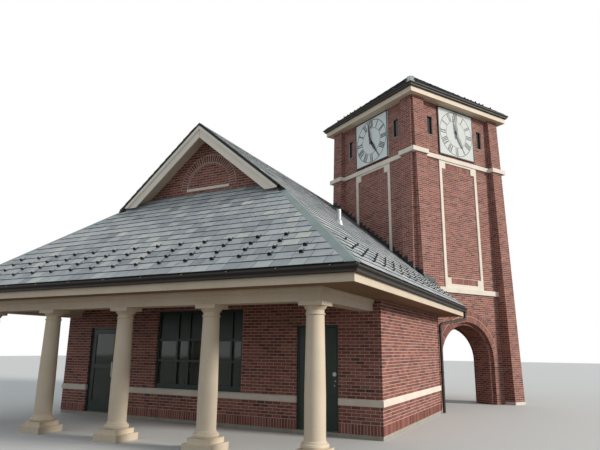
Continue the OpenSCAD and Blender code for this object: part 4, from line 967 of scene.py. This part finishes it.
b = Batch()
path = junction()
for (x0, y0, z0), (x1, y1, z1) in zip(path, path[1:]):
    d = Vector((x1 - x0, y1 - y0, 0))
    length = d.length
    if length < 0.02:
        continue
    d.normalize()
    face = plane((x0, y0, 0), d, UP, (d.y, -d.x, 0))
    rise = (z1 - z0) / length
    steps = max(1, round(length / 0.21))
    for i in range(steps):
        a0, a1 = i * length / steps, (i + 1) * length / steps
        za, zb = z0 + rise * a0, z0 + rise * a1
        top = max(za, zb) + 0.10 if abs(rise) > 0.05 else za + 0.13
        b.prism(face, [(a0, za - 0.004), (a1, zb - 0.004), (a1, top), (a0, top)], 0.0035, 0.0075)
b.make("step_flashing", "flashing", slot="cap_metal")

# Gutters: width, height, thickness, outline in parts of the size
GUT_W, GUT_H, GUT_T = 0.110, 0.110, 0.003
MOULDING = ((0, 0.6), (0, 0), (0.55, 0), (0.61, 0.06), (0.63, 0.3), (0.7, 0.48), (0.88, 0.62), (0.97, 0.74),
            (1, 0.86), (1, 1))


def sweep(batch, path, section, closed=False):
    """A section carried along corners, each given as a point and the outward direction of its mitre."""
    batch.loft([[Vector(p) + Vector(out) * a + Vector((0, 0, c)) for a, c in section] for p, out in path], closed)


outer = [(GUT_W * a, GUT_H * c) for a, c in MOULDING]
inner = [(GUT_T, outer[0][1]), (GUT_T, GUT_T)] + [(a - GUT_T, c + GUT_T) for a, c in outer[2:8]]
inner += [(GUT_W - GUT_T, outer[8][1]), (GUT_W - GUT_T, GUT_H)]
gx, gy, gz = LIP_X - GUT_W, LIP_Y + GUT_W, LIP_Z - GUT_H
eaves = [((-gx, REAR_VERGE - GUT_T, gz), (-1, 0, 0)), ((-gx, gy, gz), (-1, -1, 0)), ((gx, gy, gz), (1, -1, 0)),
         ((gx, VERGE - GUT_T, gz), (1, 0, 0))]
tower_eave = []
for a in reversed(QUARTERS):
    u, o = tower_dirs(a)
    tower_eave.append((CENTRE + (o + u) * (T_LIP - GUT_W) + Vector((0, 0, T_LIP_Z - GUT_H)), o + u))
b = Batch()
sweep(b, eaves, outer + inner[::-1])
under = GUT_H - SLAB + K * EDGE - 0.001
plate = [(0.0, under), (0.0, 0.0)] + outer[2:] + [(0.0448, GUT_H), (0.0448, under)]
spout_x = gx + 0.36 * GUT_W
for s, end in ((1, VERGE), (-1, REAR_VERGE)):
    b.prism(lambda a, c, n: Vector((s * (gx + a), n, gz + c)), plate, end - GUT_T, end)
    x, y = s * spout_x, end - 0.090
    for r, z0, z1 in ((0.032, 2.8405, gz + 0.001), (0.039, gz - 0.010, gz - 0.0003)):
        b.box((x - r, y - r, z0), (x + r, y + r, z1))
sweep(b, tower_eave, outer + inner[::-1], True)
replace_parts(b.make("moulded_gutters", "bronze_metal"), "gutters")
# Rolled beads along the gutter lips, in a pale metal that is a painted highlight on the dark gutters
b = Batch()
bead = rect(GUT_W - 0.010, GUT_H - 0.011, GUT_W - 0.0002, GUT_H - 0.0002)
sweep(b, eaves, bead)
sweep(b, tower_eave, bead, True)
b.make("gutter_beads_painted_highlight", "painted_lip_highlight", slot="galvanised")


# Downspouts: half width, distance from the wall, height of the upper bend
PIPE, SPOUT_OUT, ELBOW_Z = 0.036, 0.072, 2.673


def tube(batch, points, across):
    """A square pipe with cut corners along points that lie in one upright plane; across is square to that plane."""
    r, q = PIPE, PIPE - 0.012
    section = [(r, q), (q, r), (-q, r), (-r, q), (-r, -q), (-q, -r), (q, -r), (r, -q)]
    rings = []
    for i, p in enumerate(points):
        along = (points[min(i + 1, len(points) - 1)] - points[max(i - 1, 0)]).normalized()
        side = across.cross(along)
        rings.append([p + across * a + side * c for a, c in section])
    batch.loft(rings)


def rounded(points, reach):
    out = [points[0]]
    for a, m, c in zip(points, points[1:], points[2:]):
        p0, p1 = m + (a - m).normalized() * reach, m + (c - m).normalized() * reach
        out += [p0 * (1 - t) ** 2 + m * (2 * t * (1 - t)) + p1 * t * t for t in [i / 8 for i in range(9)]]
    return out + [points[-1]]


b = Batch()
wall_x = HALF + SPOUT_OUT
for s, end, wall_end in ((1, VERGE, END_Y), (-1, REAR_VERGE, REAR)):
    top = Vector((s * spout_x, end - 0.090, 2.841))
    foot = Vector((s * wall_x, wall_end - 0.090, 0.016))
    bends = [Vector((top.x, top.y, ELBOW_Z - 0.02)), Vector((foot.x, foot.y, ELBOW_Z - 0.20))]
    across = Vector(UP).cross(Vector((foot.x - top.x, foot.y - top.y, 0)).normalized())
    tube(b, rounded([top, *bends, foot], 0.100), across)
    for z in (1.100, 2.250):
        x0, x1 = sorted((s * (HALF + 0.004), s * (wall_x + PIPE)))
        b.box((x0, foot.y - 0.060, z), (x1, foot.y + 0.060, z + 0.030))
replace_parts(b.make("bent_downspouts", "bronze_metal"), "downspouts")


# Straps over the gutters and drip edges behind them; the drip edges are real pieces, black as painted shade between the
# slates and the gutter lip
def eave_line(o, u, inward, u0, u1):
    """One eave: u along it, inward from the lip and up from the lip."""
    place = plane(o, inward, UP, u)
    n = max(1, round((u1 - u0) / 0.95))
    for i in range(n):
        at = u0 + (i + 0.5) * (u1 - u0) / n
        strap = [(0.003, -0.004), (EDGE - 0.001, 0.028), (EDGE - 0.001, 0.034), (0.003, 0.002)]
        straps.prism(place, strap, at - 0.011, at + 0.011)
    drip.prism(place, rect(EDGE - 0.003, 0.006, EDGE - 0.0005, 0.030), u0 + EDGE, u1 - EDGE)


straps, drip = Batch(), Batch()
eave_line((0, LIP_Y, LIP_Z), (1, 0, 0), (0, 1, 0), -LIP_X, LIP_X)
eave_line((LIP_X, 0, LIP_Z), (0, 1, 0), (-1, 0, 0), LIP_Y, VERGE + EDGE)
eave_line((-LIP_X, 0, LIP_Z), (0, 1, 0), (1, 0, 0), LIP_Y, REAR_VERGE + EDGE)
for a in QUARTERS:
    u, o = tower_dirs(a)
    eave_line(CENTRE + o * T_LIP + Vector((0, 0, T_LIP_Z)), u, -o, -T_LIP, T_LIP)
# The drip edges are black: painted shade of the gutter trough under the slates
drip.make("eave_drip_painted_shade", "guard_black", slot="bronze_metal")
straps.make("gutter_straps", "galvanised")

# Vent through the roof, with a boot that follows the slope
lo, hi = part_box("vent_pipe")
vx, vy = (lo[0] + hi[0]) / 2, (lo[1] + hi[1]) / 2
seat = side_top(vx)
profile = [(0.150, seat - 0.105), (0.150, seat - 0.085), (0.086, seat + 0.060), (0.072, seat + 0.085),
           (0.060, seat + 0.090), (0.060, hi[2] - 0.006), (0.054, hi[2] - 0.0005), (0.050, hi[2] - 0.0005),
           (0.050, seat - 0.105)]
rings = []
for r, z in profile:
    fall = K if r > 0.1 else 0.0
    circle = [polar(r, 2 * math.pi * i / 40) for i in range(40)]
    rings.append([Vector((vx + x, vy + y, z - fall * x)) for x, y in circle])
b = Batch()
b.loft(rings, True)
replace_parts(b.make("vent_with_boot", "galvanised"), "vent_pipe")

# Door fittings
LEAF = -2.650
b = Batch()
for x0, x1 in DOORS:
    b.box((x0 + 0.052, FRONT + 0.046, STRIP + 0.0141), (x1 - 0.052, FRONT + 0.154, STRIP + 0.0165))
b.make("thresholds", "aluminium", slot="galvanised")


def disc(batch, x, z, r, y0, y1):
    batch.prism(lambda u, v, n: (u, n, v), [polar(r, 2 * math.pi * i / 32, x, z) for i in range(32)], y0, y1)


b = Batch()
disc(b, 3.476, 1.220, 0.044, LEAF - 0.010, LEAF)
disc(b, 3.476, 1.220, 0.030, LEAF - 0.013, LEAF - 0.009)
disc(b, 3.496, 1.081, 0.016, LEAF - 0.008, LEAF)
b.box((3.462, LEAF - 0.004, 0.975), (3.486, LEAF, 1.003))
b.make("steel_door_lock", "aluminium", body="steel_leaf", slot="galvanised", bevel=0.0015)
b = Batch()
for z in (1.02, 1.30):
    b.box((-2.800, LEAF - 0.060, z - 0.012), (-2.776, LEAF, z + 0.012))
b.box((-2.802, LEAF - 0.070, 0.98), (-2.774, LEAF - 0.056, 1.34))
disc(b, -2.788, 1.42, 0.022, LEAF - 0.008, LEAF)
b.make("entrance_pull", "aluminium", body="entrance_leaf", slot="galvanised", bevel=0.003)

# Materials of the solid parts; the rest is cream
looks = {
    "concrete": "floor_slab foundation_strip",
    "mortar": "front_wall_left front_wall_middle front_wall_right door_head_walls left_wall right_wall "
              "rear_walls gable_wall lunette_ring tower_base tower_shaft arch_rings",
    "limestone": "stone_band lunette_sill pilaster_bases tower_sills tower_belt panel_frames",
    "green_paint": "door_frames entrance_door steel_door window_frame window_panels",
    "glass": "entrance_glass window_glass",
    "dark_glass": "slit_panes",
    "soffit_paint": "soffit",
    "bronze_metal": "gutters downspouts",
    "underlay": "front_roof_slope left_roof_slope right_roof_slope tower_roof",
    "cap_metal": "roof_caps",
    "galvanised": "vent_pipe",
    "dial": "clock_panels",
    "hand_black": "front_minute_hand front_hour_hand side_minute_hand side_hour_hand rear_clock_hands",
}
look_of = {name: look for look, names in looks.items() for name in names.split()}
for name, obj in node.items():
    mat = M[look_of.get(name, "cream_paint")]
    if not obj.material_slots:
        obj.data.materials.append(mat)
    for slot in obj.material_slots:
        slot.material = mat

# Stage, light, camera
bpy.ops.mesh.primitive_plane_add(size=160, location=(0, 0, -0.002))
floor = bpy.context.object
floor.name = "floor"
mat, nt, bsdf = shader("floor", rough=0.9)
seen = nt.nodes.new("ShaderNodeLightPath").outputs["Is Camera Ray"]
nt.links.new(mix(nt, "MIX", seen, (0.20, 0.175, 0.155, 1), (0.62, 0.615, 0.605, 1)), bsdf.inputs["Base Color"])
floor.data.materials.append(mat)

world = bpy.data.worlds.new("studio")
bpy.context.scene.world = world
world.use_nodes = True
wn = world.node_tree
sky = wn.nodes["Background"]
sky.inputs["Color"].default_value = (0.86, 0.95, 1.0, 1)
sky.inputs["Strength"].default_value = 0.58
white = wn.nodes.new("ShaderNodeBackground")
white.inputs["Color"].default_value = (1, 1, 1, 1)
white.inputs["Strength"].default_value = 1.0
rays = wn.nodes.new("ShaderNodeLightPath")
seen = rays.outputs["Is Camera Ray"]
for kind in ("Is Glossy Ray", "Is Transmission Ray"):
    either = wn.nodes.new("ShaderNodeMath")
    either.operation = "MAXIMUM"
    wn.links.new(seen, either.inputs[0])
    wn.links.new(rays.outputs[kind], either.inputs[1])
    seen = either.outputs[0]
blend = wn.nodes.new("ShaderNodeMixShader")
for i, out in enumerate((seen, sky.outputs[0], white.outputs[0])):
    wn.links.new(out, blend.inputs[i])
wn.links.new(blend.outputs[0], wn.nodes["World Output"].inputs["Surface"])

sun = bpy.data.lights.new("sun", "SUN")
sun.energy = 2.9
sun.angle = math.radians(12)
sun.color = (1.0, 0.955, 0.88)
lamp = bpy.data.objects.new("sun", sun)
bpy.context.collection.objects.link(lamp)
lamp.rotation_mode = "QUATERNION"
lamp.rotation_quaternion = Vector((0.920, 0.113, 0.375)).to_track_quat("Z", "Y")

# Camera: focal length over width, place, then its yaw, its tilt up and its roll
cam = bpy.data.cameras.new("camera")
cam.sensor_width = 36.0
cam.lens = 525.4 / 600 * 36.0
view = bpy.data.objects.new("camera", cam)
bpy.context.collection.objects.link(view)
at = (7.933, -13.180, 1.736)
yaw, tilt_up, roll = math.radians(-26.73), math.radians(13.24), math.radians(0.58)
fwd = Vector((math.sin(yaw) * math.cos(tilt_up), math.cos(yaw) * math.cos(tilt_up), math.sin(tilt_up)))
rt = Vector((math.cos(yaw), -math.sin(yaw), 0))
up = rt.cross(fwd)
rolled_rt = rt * math.cos(roll) + up * math.sin(roll)
rolled_up = up * math.cos(roll) - rt * math.sin(roll)
view.matrix_world = Matrix([(rolled_rt[i], rolled_up[i], -fwd[i], at[i]) for i in range(3)] + [(0, 0, 0, 1)])
bpy.context.scene.camera = view
bpy.context.scene.view_settings.view_transform = "Standard"
